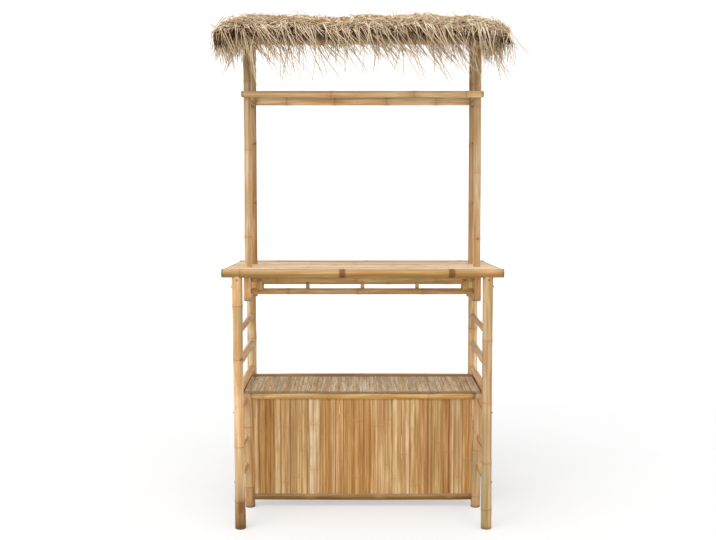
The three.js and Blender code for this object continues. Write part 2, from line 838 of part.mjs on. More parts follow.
// The bed of one course: an extruded section that laps over the course in front of it.
// With raised it is the same form lying higher, to cut the course that laps over it.
function courseBed(i, raised = 0) {
  const nose = courseNose(i);
  const tail = courseTail(i) - seat;
  const outline = new THREE.Shape();
  if (i === 0) {
    outline.moveTo(nose, 0);
  } else {
    const stop = courseTail(i - 1) + seat;
    outline.moveTo(nose, lapTop(i));
    outline.lineTo(stop, courseTop(i - 1, courseTail(i - 1)) + thatch.lapPlay);
    outline.lineTo(stop, 0);
  }
  outline.lineTo(tail, 0);
  outline.lineTo(tail, courseTop(i, courseTail(i)));
  outline.lineTo((nose + tail) / 2, courseTop(i, (nose + tail) / 2));
  outline.lineTo(nose + thatch.rootDepth, courseTop(i, nose + thatch.rootDepth));
  outline.lineTo(nose, courseTop(i, nose) - thatch.rootDepth);
  const geometry = new THREE.ExtrudeGeometry(outline, {
    depth: roofLength,
    steps: thatch.steps,
    bevelEnabled: false,
  });
  const position = geometry.attributes.position;
  for (let n = 0; n < position.count; n += 1) {
    const upSlope = position.getX(n);
    const off = position.getY(n);
    const x = position.getZ(n) - roofLength / 2;
    const onTop = off > courseTop(i, upSlope) - thatch.rootDepth - thatch.lump;
    const lump = onTop ? thatch.lump * scatter(Math.round(x) + Math.round(upSlope) + i) : 0;
    const placed = onRoof(x, upSlope, (off + lump) * endFall(x) + (off > 0 ? raised : 0));
    position.setXYZ(n, placed.x, placed.y, placed.z);
  }
  return solidFrom(geometry);
}

// Blades of a fringe: evenly spaced, leaning together in slow waves so that no two cross
function fringeBlades(fringe, rootSlope, outward) {
  const run = roofLength - 2 * thatch.roundEnd * thatch.endThicknessShare;
  const blades = [];
  for (let n = 0; n < fringe.count; n += 1) {
    const x = -run / 2 + (run * (n + 0.5)) / fringe.count;
    const root = onRoof(x, rootSlope, fringe.off * endFall(x));
    const wave = Math.sin(n * 0.35 + fringe.count);
    const drop = fringe.drop + Math.abs(scatter(n + fringe.count)) * fringe.spread;
    const sway = fringe.lean * (0.55 + 0.45 * wave);
    const out = outward * fringe.reachOut;
    const points = [root];
    if (fringe.kneeShare) {
      const share = fringe.kneeShare;
      points.push(root.clone().add(at(sway * share, out, -drop * share)));
    }
    points.push(root.clone().add(at(sway, out, -drop)));
    blades.push(bladeSolid(points, thatch.bladeWidth));
  }
  return blades;
}

function sideBlades(i) {
  const blades = [];
  const nose = courseNose(i) + (i > 0 ? thatch.lap : 0);
  for (let n = 0; n < sideFringe.count; n += 1) {
    const upSlope = nose + (exposure * (n + 0.5)) / sideFringe.count;
    for (const [, sx] of sides) {
      const x = sx * (roofLength / 2 - sideFringe.insideEnd);
      const root = onRoof(x, upSlope, sideFringe.off);
      const drop = sideFringe.drop + Math.abs(scatter(n + sx + i)) * sideFringe.spread;
      const out = sideFringe.reachOut + sideFringe.splay * scatter(n - sx * i) ** 4;
      const tip = root.clone().add(at(sx * out, 0, out - drop));
      blades.push(bladeSolid([root, tip], thatch.bladeWidth));
    }
  }
  return blades;
}

// The outer body alone, without the slivers of air shut in between crossing blades
function outerSkin(solid) {
  return solid.decompose().reduce((a, b) => (a.volume() > b.volume() ? a : b));
}

function addThatch() {
  thatch.courses.forEach((name, i) => {
    let solid = courseBed(i);
    if (i > 0) solid = solid.subtract(courseBed(i - 1, seat)).subtract(courseBed(i - 1));
    const blades = fringes
      .filter((fringe) => fringe.course === i)
      .flatMap((fringe) => fringeBlades(fringe, courseNose(i) + fringe.behindNose, -1));
    blades.push(...sideBlades(i));
    if (i === thatch.courses.length - 1) {
      blades.push(...fringeBlades(rearFringe, courseTail(i) - rearFringe.beforeTail, 1));
    }
    for (const blade of blades) solid = solid.add(blade);
    addPiece(`thatch_course_${name}`, outerSkin(solid), thatchTones[i], 0.9);
  });
}

addCounter();
addFrame();
addPanel();
addShelf();
addSocketsAndApron();
addRoofPosts();
addThatch();

export default hut;
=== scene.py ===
"""Looks of a bamboo bar hut with a thatched roof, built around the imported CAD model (metres)."""

from math import atan2, copysign, cos, exp, hypot, pi, radians, sin, tau

import bpy
import numpy as np
from mathutils import Matrix, Vector


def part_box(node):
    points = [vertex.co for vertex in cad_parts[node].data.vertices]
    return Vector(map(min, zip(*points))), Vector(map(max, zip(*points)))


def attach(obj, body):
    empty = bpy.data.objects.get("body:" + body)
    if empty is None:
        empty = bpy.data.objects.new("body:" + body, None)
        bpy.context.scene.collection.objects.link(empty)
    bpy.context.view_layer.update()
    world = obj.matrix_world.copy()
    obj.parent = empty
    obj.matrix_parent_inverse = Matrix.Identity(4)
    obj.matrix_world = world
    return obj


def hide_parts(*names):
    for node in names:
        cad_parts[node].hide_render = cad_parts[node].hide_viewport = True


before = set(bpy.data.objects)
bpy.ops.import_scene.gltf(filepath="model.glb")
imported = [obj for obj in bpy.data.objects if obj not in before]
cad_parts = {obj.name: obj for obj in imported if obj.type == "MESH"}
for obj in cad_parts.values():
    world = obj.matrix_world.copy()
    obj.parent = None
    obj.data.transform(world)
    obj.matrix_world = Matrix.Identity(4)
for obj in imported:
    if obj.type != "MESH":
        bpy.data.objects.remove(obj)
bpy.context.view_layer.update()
scene = bpy.context.scene
random = np.random.default_rng(7)
uniform, normal = random.uniform, random.normal

# Sizes in metres, and shares of a cane's length
RIDGE_SHARE = 0.07  # how far the CAD model's node ridges stand over a cane's radius
RING_SIDES = 28
RING_STEP = 0.03
RING_OFFSETS = (-0.02, -0.013, -0.009, -0.0065, -0.005, -0.0042, -0.0033, -0.002, -0.001, 0,
                0.001, 0.002, 0.0035, 0.006, 0.01, 0.016)  # where the rings near a node lie
NODE_CLEARANCE = 0.021  # no other ring comes closer to a node
END_CLEARANCE = 0.002
HALF_WAY_GAP = 0.0002  # rings half-way between two nodes part what belongs to each
NODE_REACH = 0.04  # the distance to a node that the skin knows is held within this
BORE_SHARE = 0.72
BORE_DEPTH = 0.03
EDGE_ROUND = 0.0012
RIM, BORE_EDGE, BORE_FLOOR = 0.35, 0.6, 1  # how far inside a cane a ring is, 0 on its skin
TONE_STEP = 0.22  # how far the tone changes from one stretch between nodes to the next
BOW, WOBBLE, KINK = 0.0011, 0.012, 0.0007

# Where a cane has its nodes, by the start of its name
NODE_SHARES = {
    "counter_pole_front": [0.067, 0.43, 0.815],
    "counter_pole_rear": [0.16, 0.52, 0.9],
    "leg_front_left": [0.108, 0.328, 0.67, 0.88],
    "leg_front_right": [0.08, 0.264, 0.5, 0.746],
    "leg_rear_left": [0.16, 0.42, 0.676, 0.9],
    "leg_rear_right": [0.13, 0.4, 0.722, 0.88],
    "roof_post_front_left": [0.241, 0.59, 0.86],
    "roof_post_front_right": [0.233, 0.498, 0.76],
    "roof_post_rear_left": [0.366, 0.607, 0.82],
    "roof_post_rear_right": [0.36, 0.6, 0.85],
    "panel_post_right": [0.1, 0.5],
    "panel_top_rail": [0.06, 0.349, 0.798],
    "panel_bottom_rail": [0.259, 0.58, 0.901],
    "shelf_rear_rail": [0.2, 0.5, 0.79],
    "apron_upper_rail": [0.12, 0.473, 0.83],
    "apron_lower_rail": [0.17, 0.482, 0.77],
    "apron_rear_rail": [0.31, 0.62, 0.9],
    "cross_bar_front": [0.372, 0.715, 0.93],
    "cross_bar_rear": [0.169, 0.381, 0.609, 0.825],
    "side_rung": [0.22, 0.68],
    ("side_top_rail", "side_bottom_rail", "shelf_side_rail"): [0.28, 0.76],
    "panel_post": [0.18, 0.7],
    "post_socket": [0.12],
    "roof_tie": [0.5],
    "roof_beam": [0.12, 0.5, 0.88],
    "roof_batten": [0.2, 0.44, 0.69],
    ("apron_spindle", "apron_block"): [],
}
OPEN_BOTH = ("counter_pole", "cross_bar", "roof_beam", "roof_batten")
OPEN_START = ("leg", "panel_post", "post_socket")

PANEL_POST_LEAN = 0.0099
LEG_TO_LEG = ("side_rung", "side_bottom_rail", "shelf_side_rail")
LOW_CANES = ("side_rung_3", "side_rung_4", "side_bottom_rail")
LOW_FRONT_INSET = 0.004
LOW_REAR_INSET = 0.01

# Screen colours that multiply the cane skin, by the start of a piece's name. A pair runs from
# the foot to FOOT_REACH above it. The tints of the rear legs, the cross bars under the thatch,
# the post sockets and the apron spindles lie well above 255: painted light that brightens
# these canes in their shade. The rest set each cane's own tone.
FOOT_REACH = 0.2
UNTINTED = (255, 255, 255)
CANE_TINTS_AND_SHADE_LIFTS = {
    "counter_pole": (228, 220, 198),
    "leg_front_left": ((150, 137, 106), (281, 290, 312)),
    "leg_front_right": ((233, 235, 218), (243, 252, 268)),
    "leg_rear_right": (321, 350, 405),
    "leg_rear": (282, 308, 344),
    "roof_post": (247, 258, 278),
    "cross_bar_front": (306, 332, 366),
    "cross_bar_rear": (310, 323, 350),
    "post_socket": (311, 315, 335),
    "apron_spindle": (312, 322, 334),
    "apron_block": (274, 266, 243),
    "apron": (267, 272, 254),
    "panel_top_rail": (270, 268, 247),
    "panel_bottom_rail": (172, 161, 126),
    "panel_post": (255, 262, 278),
    "shelf_side_rail": (261, 245, 224),
    "shelf_rear_rail": (228, 221, 223),
    LOW_CANES: (248, 245, 243),
    "roof_tie": (195, 189, 175),
}
# Canes that stand a little beside the place of their CAD node: how far at the start and at the end
SHIFTS = {
    "panel_post_right": (0.0055, 0.006),
    "leg_front_left": (0.003, -0.003),
    "leg_front_right": (0.003, 0.002),
    "roof_post_front_left": (0.001, 0.001),
    "roof_post_front_right": (-0.001, -0.003),
    "roof_post_rear_left": (0.003, 0.002),
    "roof_post_rear_right": (0.002, 0.001),
}
LOW_CANE_SHIFT = 0.006
# How thick a cane is along its length: shares of the length, shares of the radius
EVEN_GIRTH = ((0,), (1,))
GIRTHS = {
    "leg_front_left": ((0, 0.08, 0.2, 0.75, 0.95), (1.03, 1.02, 0.95, 0.95, 1)),
    "leg_front_right": ((0, 0.1, 0.3, 0.75, 0.95), (1, 1, 0.94, 0.94, 1)),
}
RING_POWERS = {"counter_pole": 2.4, LOW_CANES: 0.3}
# Dark spots: height along the cane, direction that they face, half length, half angle, strength
# Painted shade of the notch in the top of a front leg, under the counter pole
LEG_TOP_HOLE_SHADE = (0.95, (0.05, -1, 0), 0.005, 0.22, 0.9)
STAINS_AND_SHADE_SPOTS = {
    "leg_front_left": (
        (0.088, (0.35, -1, 0), 0.028, 0.7, 0.9),
        (0.05, (1, -0.5, 0), 0.005, 0.3, 1),
        LEG_TOP_HOLE_SHADE,
        (0.6505, (1, -0.8, 0), 0.006, 0.45, 0.85),
    ),
    "leg_front_right": (LEG_TOP_HOLE_SHADE,),
    "roof_post_front_right": ((0.227, (0.1, -1, 0), 0.004, 0.3, 0.7),),
    "roof_post_rear_left": (
        (0.61, (0.6, -1, 0), 0.006, 0.4, 0.8),
        (0.368, (0.6, -1, 0), 0.005, 0.35, 0.8),
    ),
    "roof_post_rear_right": (
        (0.61, (0, -1, 0), 0.006, 0.4, 0.8),
        (0.368, (0, -1, 0), 0.005, 0.35, 0.7),
    ),
    "counter_pole_front": (
        (0.452, (0, -1, 0.1), 0.0115, 1.6, 1.5),
        (0.861, (0, -1, 0.1), 0.012, 1.6, 1.5),
    ),
}
DARK_SPOT_RINGS = (-1.3, -1, -0.7, -0.3, 0, 0.3, 0.7, 1, 1.3)  # rings at a spot, in half lengths


def linear(red, green, blue):
    """A screen colour, 0 to 255, as the linear colour that a shader takes."""
    shares = [value / 255 for value in (red, green, blue)]
    return [s / 12.92 if s <= 0.04045 else ((s + 0.055) / 1.055) ** 2.4 for s in shares] + [1]


def held(value, low, high):
    return max(low, min(high, value))


def by_start(table, name, default=None):
    """The entry of a table whose key, or one of whose keys, the name starts with."""
    return next((value for key, value in table.items() if name.startswith(key)), default)


def middle_of(name):
    low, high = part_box(name)
    return (low + high) / 2


# Mesh helpers


def link(name, data):
    piece = bpy.data.objects.new(name, data)
    scene.collection.objects.link(piece)
    return piece


def put(piece, place, turn):
    piece.matrix_world = Matrix.Translation(place) @ turn.to_4x4()


def make_object(name, verts, faces, attributes=None, smooth=True):
    mesh = bpy.data.meshes.new(name)
    mesh.from_pydata([tuple(v) for v in verts], [], [tuple(f) for f in faces])
    if smooth:
        mesh.shade_smooth()
    for key, values in (attributes or {}).items():
        values = np.asarray(values, np.float32)
        is_colour = values.ndim == 2
        layer = mesh.attributes.new(key, "FLOAT_COLOR" if is_colour else "FLOAT", "POINT")
        layer.data.foreach_set("color" if is_colour else "value", values.ravel())
    mesh.validate()
    mesh.update()
    return link(name, mesh)


def seat(piece, material, slot, *nodes):
    """Gives a piece its material and its place in the frame, instead of the named CAD nodes."""
    piece.data.materials.append(material)
    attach(piece, "root")
    if nodes:
        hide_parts(*nodes)


def note(skin, count, **values):
    """Notes what the shader of a skin reads, alike at the next few points of a mesh."""
    for key, value in values.items():
        skin.setdefault(key, []).extend([value] * count)


def tube_faces(firsts, sides):
    """Faces between neighbouring rings, given by their first points, and one across each end."""
    faces = [
        (first + i, first + (i + 1) % sides, second + (i + 1) % sides, second + i)
        for first, second in zip(firsts, firsts[1:])
        for i in range(sides)
    ]
    start, end = (tuple(range(first, first + sides)) for first in (firsts[0], firsts[-1]))
    return faces + [start[::-1], end]


# Canes


def nearest_node(place, nodes):
    """The distance from the nearest node, negative before it."""
    return min((place - node for node in nodes), key=abs, default=1)


def node_profile(distance, radius):
    """A node's swelling, ridge and scar groove, as a factor on the radius."""
    swell = 0.035 * exp(-((distance / (0.55 * radius + 0.004)) ** 2))
    ridge = 0.025 * exp(-((distance / 0.0026) ** 2))
    groove = -0.02 * exp(-(((distance + 0.0042) / 0.0016) ** 2))
    return 1 + swell + ridge + groove


def cane_rings(length, nodes):
    """Places along a cane, close together at its nodes and spaced out between them."""
    places = set(np.linspace(0, length, max(3, int(length / RING_STEP))).tolist())
    for first, second in zip(nodes, nodes[1:]):
        places |= {(first + second) / 2 - HALF_WAY_GAP, (first + second) / 2 + HALF_WAY_GAP}
    for node in nodes:
        places = {p for p in places if abs(p - node) > NODE_CLEARANCE}
        near = {node + offset for offset in RING_OFFSETS}
        places |= {p for p in near if END_CLEARANCE < p < length - END_CLEARANCE}
    return sorted(places)


def cane_profile(name, length, radius, nodes, spots):
    """A cane's rings from end to end: place, share of the radius, and how far inside it is."""
    places = set(cane_rings(length, nodes))
    for place, _, reach, _, _ in spots:
        places |= {place + reach * share for share in DARK_SPOT_RINGS}
    places = [p for p in sorted(places) if EDGE_ROUND < p < length - EDGE_ROUND]
    places = [EDGE_ROUND, *places, length - EDGE_ROUND]
    rounded = 1 - EDGE_ROUND / radius
    rings = [(0, rounded, RIM), *((place, 1, 0) for place in places), (length, rounded, RIM)]
    if name.startswith(OPEN_BOTH + OPEN_START):
        rings = [(BORE_DEPTH, BORE_SHARE, BORE_FLOOR), (0, BORE_SHARE, BORE_EDGE)] + rings
    if name.startswith(OPEN_BOTH):
        rings += [(length, BORE_SHARE, BORE_EDGE), (length - BORE_DEPTH, BORE_SHARE, BORE_FLOOR)]
    return rings


def stain_at(place, angle, spots):
    """How dark the spots of a cane make a point of its skin."""
    dark = 0
    for spot, facing, reach, half_angle, strength in spots:
        away = (angle - facing + pi) % tau - pi
        dark += strength * exp(-(((place - spot) / reach) ** 4) - (away / half_angle) ** 4)
    return min(1, dark)


def make_cane(name, start, end, radius, shares):
    """A node's natural cane: slightly bowed, unevenly round, with a bore where it is open."""
    axis = end - start
    length = axis.length
    nodes = [share * length for share in shares]
    turn = axis.to_track_quat("Z", "Y")
    spots = []
    for place, facing, *measures in STAINS_AND_SHADE_SPOTS.get(name, ()):
        local = turn.inverted() @ Vector(facing)
        spots.append((place, atan2(local.y, local.x), *measures))
    bow = normal(0, BOW, 2) * min(1, length / 0.9)
    wobble = normal(0, WOBBLE, 4)
    phase = uniform(0, tau, 4)
    tone, seed = uniform(0, 1), uniform(0, 50)
    tint = by_start(CANE_TINTS_AND_SHADE_LIFTS, name, UNTINTED)
    tints = tint if np.ndim(tint) == 2 else (tint, tint)
    foot_tint, body_tint = (np.array(linear(*screen)) for screen in tints)
    girth = GIRTHS.get(name, EVEN_GIRTH)
    verts, firsts, skin = [], [], {}
    for place, scale, inside in cane_profile(name, length, radius, nodes, spots):
        firsts.append(len(verts))
        nearest = nearest_node(place, nodes)
        profile = 1 if inside else node_profile(nearest, radius) * np.interp(place / length, *girth)
        drift = sin(pi * place / length)
        kink = sum(copysign(KINK, sin(7 * node)) * exp(-(((place - node) / 0.05) ** 2))
                   for node in nodes)
        for i in range(RING_SIDES):
            angle = tau * i / RING_SIDES
            oval = 1 + wobble[0] * cos(2 * angle + phase[0])
            oval += 0.4 * wobble[1] * cos(3 * angle + phase[1] + place * 3)
            r = radius * scale * oval * profile
            verts.append((r * cos(angle) + bow[0] * drift + kink,
                          r * sin(angle) + bow[1] * drift, place))
            note(skin, 1, stain=stain_at(place, angle, spots))
        stretch = sum(place > node for node in nodes)
        note(skin, RING_SIDES, near_node=held(nearest, -NODE_REACH, NODE_REACH), inner=inside,
             from_end=min(place, length - place),
             tint=foot_tint + (body_tint - foot_tint) * min(1, place / FOOT_REACH),
             tone=held(tone + TONE_STEP * sin(5 * stretch + 9 * tone), 0, 1),
             ring_power=by_start(RING_POWERS, name, 1), seed=seed)
    piece = make_object(f"{name}_cane", verts, tube_faces(firsts, RING_SIDES), skin)
    put(piece, start, turn.to_matrix())
    return piece


# Shader helpers


def grey(value):
    return [value] * 3 + [1]


WHITE = grey(1)
BLACK = grey(0)


class Shader:
    """A node material, with a short way to add and link its nodes."""

    def __init__(self, name):
        self.material = bpy.data.materials.new(name)
        self.material.use_nodes = True
        self.tree = self.material.node_tree
        self.tree.nodes.clear()

    def add(self, kind, inputs=None, out=0, **settings):
        node = self.tree.nodes.new(f"ShaderNode{kind}")
        for key, value in settings.items():
            setattr(node, key, value)
        for key, value in (inputs or {}).items():
            if isinstance(value, bpy.types.NodeSocket):
                self.tree.links.new(value, node.inputs[key])
            else:
                node.inputs[key].default_value = value
        return node.outputs[out] if node.outputs else node

    def read(self, name, out="Fac"):
        return self.add("Attribute", out=out, attribute_name=name)

    def where(self):
        return self.add("TexCoord", out="Object")

    def math(self, operation, a, b=0, clamp=False):
        return self.add("Math", {0: a, 1: b}, operation=operation, use_clamp=clamp)

    def times(self, a, b, clamp=False):
        return self.math("MULTIPLY", a, b, clamp)

    def mix(self, factor, a, b, blend="MIX"):
        return self.add("Mix", {0: factor, 6: a, 7: b}, out=2, data_type="RGBA", blend_type=blend)

    def spread(self, value, low, high, first, last):
        """A value between low and high, turned into one between first and last."""
        return self.add("MapRange", {0: value, 1: low, 2: high, 3: first, 4: last}, clamp=True)

    def ramp(self, factor, *stops):
        out = self.add("ValToRGB", {0: factor})
        elements = out.node.color_ramp.elements
        while len(elements) < len(stops):
            elements.new(0.5)
        for element, (position, colour) in zip(elements, stops):
            element.position = position
            element.color = colour
        return out

    def noise(self, vector, scale, detail=3, roughness=0.55):
        inputs = {"Vector": vector, "Scale": scale, "Detail": detail, "Roughness": roughness}
        return self.add("TexNoise", inputs)

    def grain(self, across, along, detail=2, roughness=0.55):
        """Noise moved by the piece's seed, with its own scale across the cane and along it."""
        moved = self.add("VectorMath", {0: self.where(), 1: self.read("seed")}, operation="ADD")
        scaled = self.add("VectorMath", {0: moved, 1: (across, across, along)}, operation="MULTIPLY")
        return self.noise(scaled, 1, detail, roughness)

    def finish(self, colour, roughness, others, height=None, distance=0):
        """The material, from the inputs of its surface and the height and distance of its bumps."""
        inputs = {"Base Color": colour, "Roughness": roughness, **others}
        if height is not None:
            bump = {"Height": height, "Distance": distance, "Strength": 1}
            inputs["Normal"] = self.add("Bump", bump)
        self.add("OutputMaterial", {"Surface": self.add("BsdfPrincipled", inputs)})
        return self.material


def bamboo_material(name, tones, ring_colour, ring_strength=0.34, roughness=0.46, gloss=0.22,
                    grain=0.5, painted_top_highlight=0):
    """Cane skin: patchy straw and honey tones, fine fibres, stains, painted shade in notches and
    seams, a dark scar at each node, and a painted highlight on its upward faces.
    """
    look = Shader(name)
    patches = look.grain(26, 2.6)
    fibres = look.grain(420, 7, 3, 0.7)
    streaks = look.grain(120, 1.8)
    blotches = look.grain(60, 14, 4, 0.65)

    pale, honey, amber, green = (linear(*tone) for tone in tones)
    colour = look.ramp(patches, (0.3, green), (0.42, honey), (0.52, pale), (0.62, honey),
                       (0.75, amber))
    tone = look.ramp(look.read("tone"), (0, linear(236, 226, 206)), (0.35, WHITE),
                     (0.7, linear(255, 246, 232)), (1, linear(232, 214, 196)))
    colour = look.mix(1, colour, tone, "MULTIPLY")
    # The tint holds each piece's own tone, plus painted light on canes in shade and painted shade on
    # the mat's outer reeds
    colour = look.mix(1, colour, look.read("tint", "Color"), "MULTIPLY")
    streak = look.ramp(streaks, (0.42, linear(206, 186, 152)), (0.56, WHITE))
    colour = look.mix(grain, colour, streak, "MULTIPLY")
    fibre = look.ramp(fibres, (0.35, linear(214, 196, 168)), (0.6, WHITE))
    colour = look.mix(grain, colour, fibre, "MULTIPLY")
    blotch = look.ramp(blotches, (0.6, BLACK), (0.72, WHITE))
    colour = look.mix(look.times(blotch, 0.45), colour, linear(168, 118, 66))

    colour = colour_nodes(look, colour, patches, ring_colour, ring_strength)
    # Painted highlight: faces turned upwards are mixed towards pale straw, as if lit from above
    upward = look.add("SeparateXYZ", {0: look.add("NewGeometry", out="Normal")}, out=2)
    colour = look.mix(look.spread(upward, 0.2, 0.9, 0, painted_top_highlight), colour, linear(228, 208, 176))
    colour = colour_ends(look, colour)
    # Real stains and knots, with painted shade at the notch in each front leg's top and in the seams
    # between panel strips
    colour = look.mix(look.times(look.read("stain"), 0.8), colour, linear(106, 62, 30))

    height = look.math("ADD", look.times(fibres, 0.5), look.times(streaks, 0.8))
    rough = look.math("ADD", roughness - 0.08, look.times(blotches, 0.25))
    return look.finish(colour, rough, {"Specular IOR Level": gloss}, height, 0.0005)


def colour_nodes(look, colour, patches, ring_colour, ring_strength):
    """A skin's colour with a ragged dark ring at each node and a brown glow around it."""
    near = look.read("near_node")
    ragged = look.times(look.math("SUBTRACT", look.grain(160, 160), 0.5), 0.009)
    band = look.spread(look.math("ADD", near, ragged), -0.008, 0.008, 0, 1)
    ring = look.ramp(band, (0, BLACK), (0.17, BLACK), (0.25, WHITE), (0.36, WHITE),
                     (0.44, grey(0.35)), (0.52, grey(0.75)), (0.62, grey(0.1)), (0.8, BLACK))
    power = look.times(look.read("ring_power"), ring_strength)
    colour = look.mix(look.times(ring, power, clamp=True), colour, linear(*ring_colour))
    wide = look.spread(look.math("ABSOLUTE", near), 0.004, 0.03, 0.4, 0)
    return look.mix(look.times(wide, look.times(patches, 1.4)), colour, linear(186, 138, 84))


def colour_ends(look, colour):
    """A skin's colour with the pale core of an open end, painted shade that darkens its bore, and a
    grey rim.
    """
    inner = look.read("inner")
    cut_face_and_bore_shade = look.ramp(inner, (0.3, linear(196, 168, 122)), (0.65, linear(150, 112, 66)),
                     (0.85, linear(58, 38, 20)))
    colour = look.mix(look.ramp(inner, (0.3, BLACK), (0.36, WHITE)), colour, cut_face_and_bore_shade)
    rim = look.ramp(look.read("from_end"), (0, WHITE), (0.003, WHITE), (0.012, BLACK))
    return look.mix(look.times(rim, 0.6), colour, linear(112, 98, 76))


# A skin's pale, honey, amber and greenish tones
HONEY = ((226, 196, 154), (208, 169, 116), (190, 144, 92), (188, 169, 125))
PALE_TOP = ((241, 227, 211), (230, 208, 181), (213, 187, 156), (223, 215, 195))
SPLIT = ((245, 221, 198), (230, 199, 168), (207, 171, 139), (218, 190, 166))
REED = ((249, 240, 220), (226, 211, 186), (199, 177, 149), (210, 203, 185))

cane_skin = bamboo_material("cane_skin", HONEY, (122, 74, 34), painted_top_highlight=0.14)
plank_skin = bamboo_material("plank_skin", PALE_TOP, (150, 104, 60), 0.4, 0.6, 0.08)
split_skin = bamboo_material("split_skin", SPLIT, (120, 78, 40), 0.07, 0.55, 0.15, grain=0.8)
reed_skin = bamboo_material("reed_skin", REED, (120, 90, 60), 0.3, 0.8, 0.05)


# Canes in place of their CAD nodes


def axis_of(name, radius):
    """The ends of a cane's axis, from the box of its CAD node."""
    low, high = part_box(name)
    start, end = middle_of(name), middle_of(name)
    along = 2 if name.startswith("apron_block") else max(range(3), key=lambda i: high[i] - low[i])
    start[along], end[along] = low[along], high[along]
    if name.startswith("panel_post"):
        flare = copysign(PANEL_POST_LEAN / 2, start.x)
        start.x -= flare
        end.x += flare
    if name.startswith("roof_beam"):
        start.z, end.z = low.z + radius, high.z - radius
    if name.startswith(LEG_TO_LEG):
        side = name.rsplit("_", 1)[1]
        front, rear = middle_of(f"leg_front_{side}"), middle_of(f"leg_rear_{side}")
        first, last = front.x, rear.x
        if name.startswith(LOW_CANES):
            first -= copysign(LOW_FRONT_INSET, first)
            last -= copysign(LOW_REAR_INSET, last)
        for point in (start, end):
            point.x = first + (last - first) * (point.y - front.y) / (rear.y - front.y)
    return start, end


def build_cane(name, shares):
    low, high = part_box(name)
    radius = min(high - low) / 2 / (1 + (RIDGE_SHARE if shares else 0))
    start, end = axis_of(name, radius)
    shifts = SHIFTS.get(name, (0, 0))
    if name.startswith(LOW_CANES):
        shifts = [copysign(LOW_CANE_SHIFT, start.x)] * 2
    start.x += shifts[0]
    end.x += shifts[1]
    seat(make_cane(name, start, end, radius, shares), cane_skin, "bamboo", name)


for node_name in sorted(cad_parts):
    node_shares = by_start(NODE_SHARES, node_name)
    if node_shares is not None:
        build_cane(node_name, node_shares)


# Flat strips of the counter, the panel and the shelf

NODE_LIFT = 0.0006  # how far a strip's node stands up
EDGE_DROP = 0.35  # how far a strip's edge is rounded off, in crowns
PLANK_STRIPS = 3
PLANK_CROWN = 0.0012
PLANK_SEAM = 0.0003


def crowned_strip(centre, half_width, length, thickness, crown, nodes, sides=6):
    """Rings of a strip along local Z, flat behind and crowned in front, as vertex rows."""
    places = cane_rings(length, nodes)
    places = [0] + [p for p in places if END_CLEARANCE < p < length - END_CLEARANCE] + [length]
    rows = []
    for place in places:
        nearest = nearest_node(place, nodes)
        lift = NODE_LIFT * exp(-((nearest / 0.003) ** 2))
        row = []
        for i in range(sides + 1):
            share = 2 * i / sides - 1
            edge = EDGE_DROP * crown if abs(share) == 1 else 0
            front = -thickness - crown * (1 - share**2) - lift + edge
            row.append((centre + half_width * share, front, place))
        row += [(centre + half_width, 0, place), (centre - half_width, 0, place)]
        rows.append((row, nearest))
    return rows


def own_look():
    """What sets a strip apart from its neighbours of the same skin."""
    return {"tone": uniform(0, 1), "seed": uniform(0, 50)}


def strips_object(name, strips):
    """One mesh from many strips, each a dict with its rows, tone and seed."""
    verts, faces, skin = [], [], {}
    for strip in strips:
        left_seam, right_seam = strip.get("seams", (0, 0))
        firsts = []
        for row, nearest in strip["rows"]:
            firsts.append(len(verts))
            width = len(row)
            verts += [Vector(v) + strip.get("shift", Vector()) for v in row]
            place = row[0][2]
            note(skin, width, near_node=held(nearest, -NODE_REACH, NODE_REACH), inner=0,
                 from_end=min(place, strip["length"] - place) if "length" in strip else 1,
                 tint=linear(*strip.get("tint", UNTINTED)), ring_power=1,
                 tone=strip["tone"], seed=strip["seed"])
            # Painted shade along a strip's two edges, in the seams between strips
            for seam, count in ((left_seam, 1), (0, width - 4), (right_seam, 2), (left_seam, 1)):
                note(skin, count, stain=seam)
        faces += tube_faces(firsts, width)
    return make_object(name, verts, faces, skin, smooth=False)


def build_plank(name):
    """A counter plank of a few flattened culms side by side, their length along X."""
    low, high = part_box(name)
    length, depth, thickness = high - low
    width = depth / PLANK_STRIPS
    strips = []
    for i in range(PLANK_STRIPS):
        centre = -depth / 2 + width * (i + 0.5)
        nodes = sorted(uniform(0.06, 0.94, 3) * length)
        rows = crowned_strip(centre, width / 2 - PLANK_SEAM, length, thickness - PLANK_CROWN,
                             PLANK_CROWN, nodes)
        strips.append({"rows": rows, "length": length, **own_look()})
    piece = strips_object(f"{name}_boards", strips)
    along_x = Matrix(((0, 0, 1), (1, 0, 0), (0, -1, 0)))
    put(piece, (low.x, (low.y + high.y) / 2, low.z), along_x)
    seat(piece, plank_skin, "planks", name)


for node_name in sorted(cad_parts):
    if node_name.startswith("counter_plank"):
        build_plank(node_name)

PANEL_BATTENS = (0.22, 0.78)  # their heights, as shares of the panel's
BATTEN_HALF = 0.013
PANEL_BACK = 0.008  # from the strips' rear face to the rear of the CAD box
SECOND_NODE_CHANCE = 0.45
SECOND_NODE_SHARE = 0.45  # how much higher the second node of a strip is, in its length
STRIP_CROWN = 0.0016
STRIP_LAP = 0.0004
STRIP_TINTS = ((250, 249, 232), (250, 246, 216), (244, 236, 202), (236, 224, 184), (220, 207, 164),
               (240, 226, 190), (250, 242, 216), (226, 208, 174))
# How dark each edge of a panel strip is painted: painted shade in the seam between two strips
SEAM_SHADE_STRENGTHS = (0, 0.1, 0.3, 0.7, 0.95)
STRIP_WIDTHS = (0.018, 0.027, 0.035, 0.042, 0.054)
STRIP_WIDTH_CHANCES = (0.2, 0.25, 0.25, 0.2, 0.1)
# Gaps between two strips: X, height, half height
SLITS = ((-0.2215, 0.253, 0.066), (-0.0925, 0.391, 0.042), (0.1595, 0.247, 0.062))
SLIT_HALF = 0.001


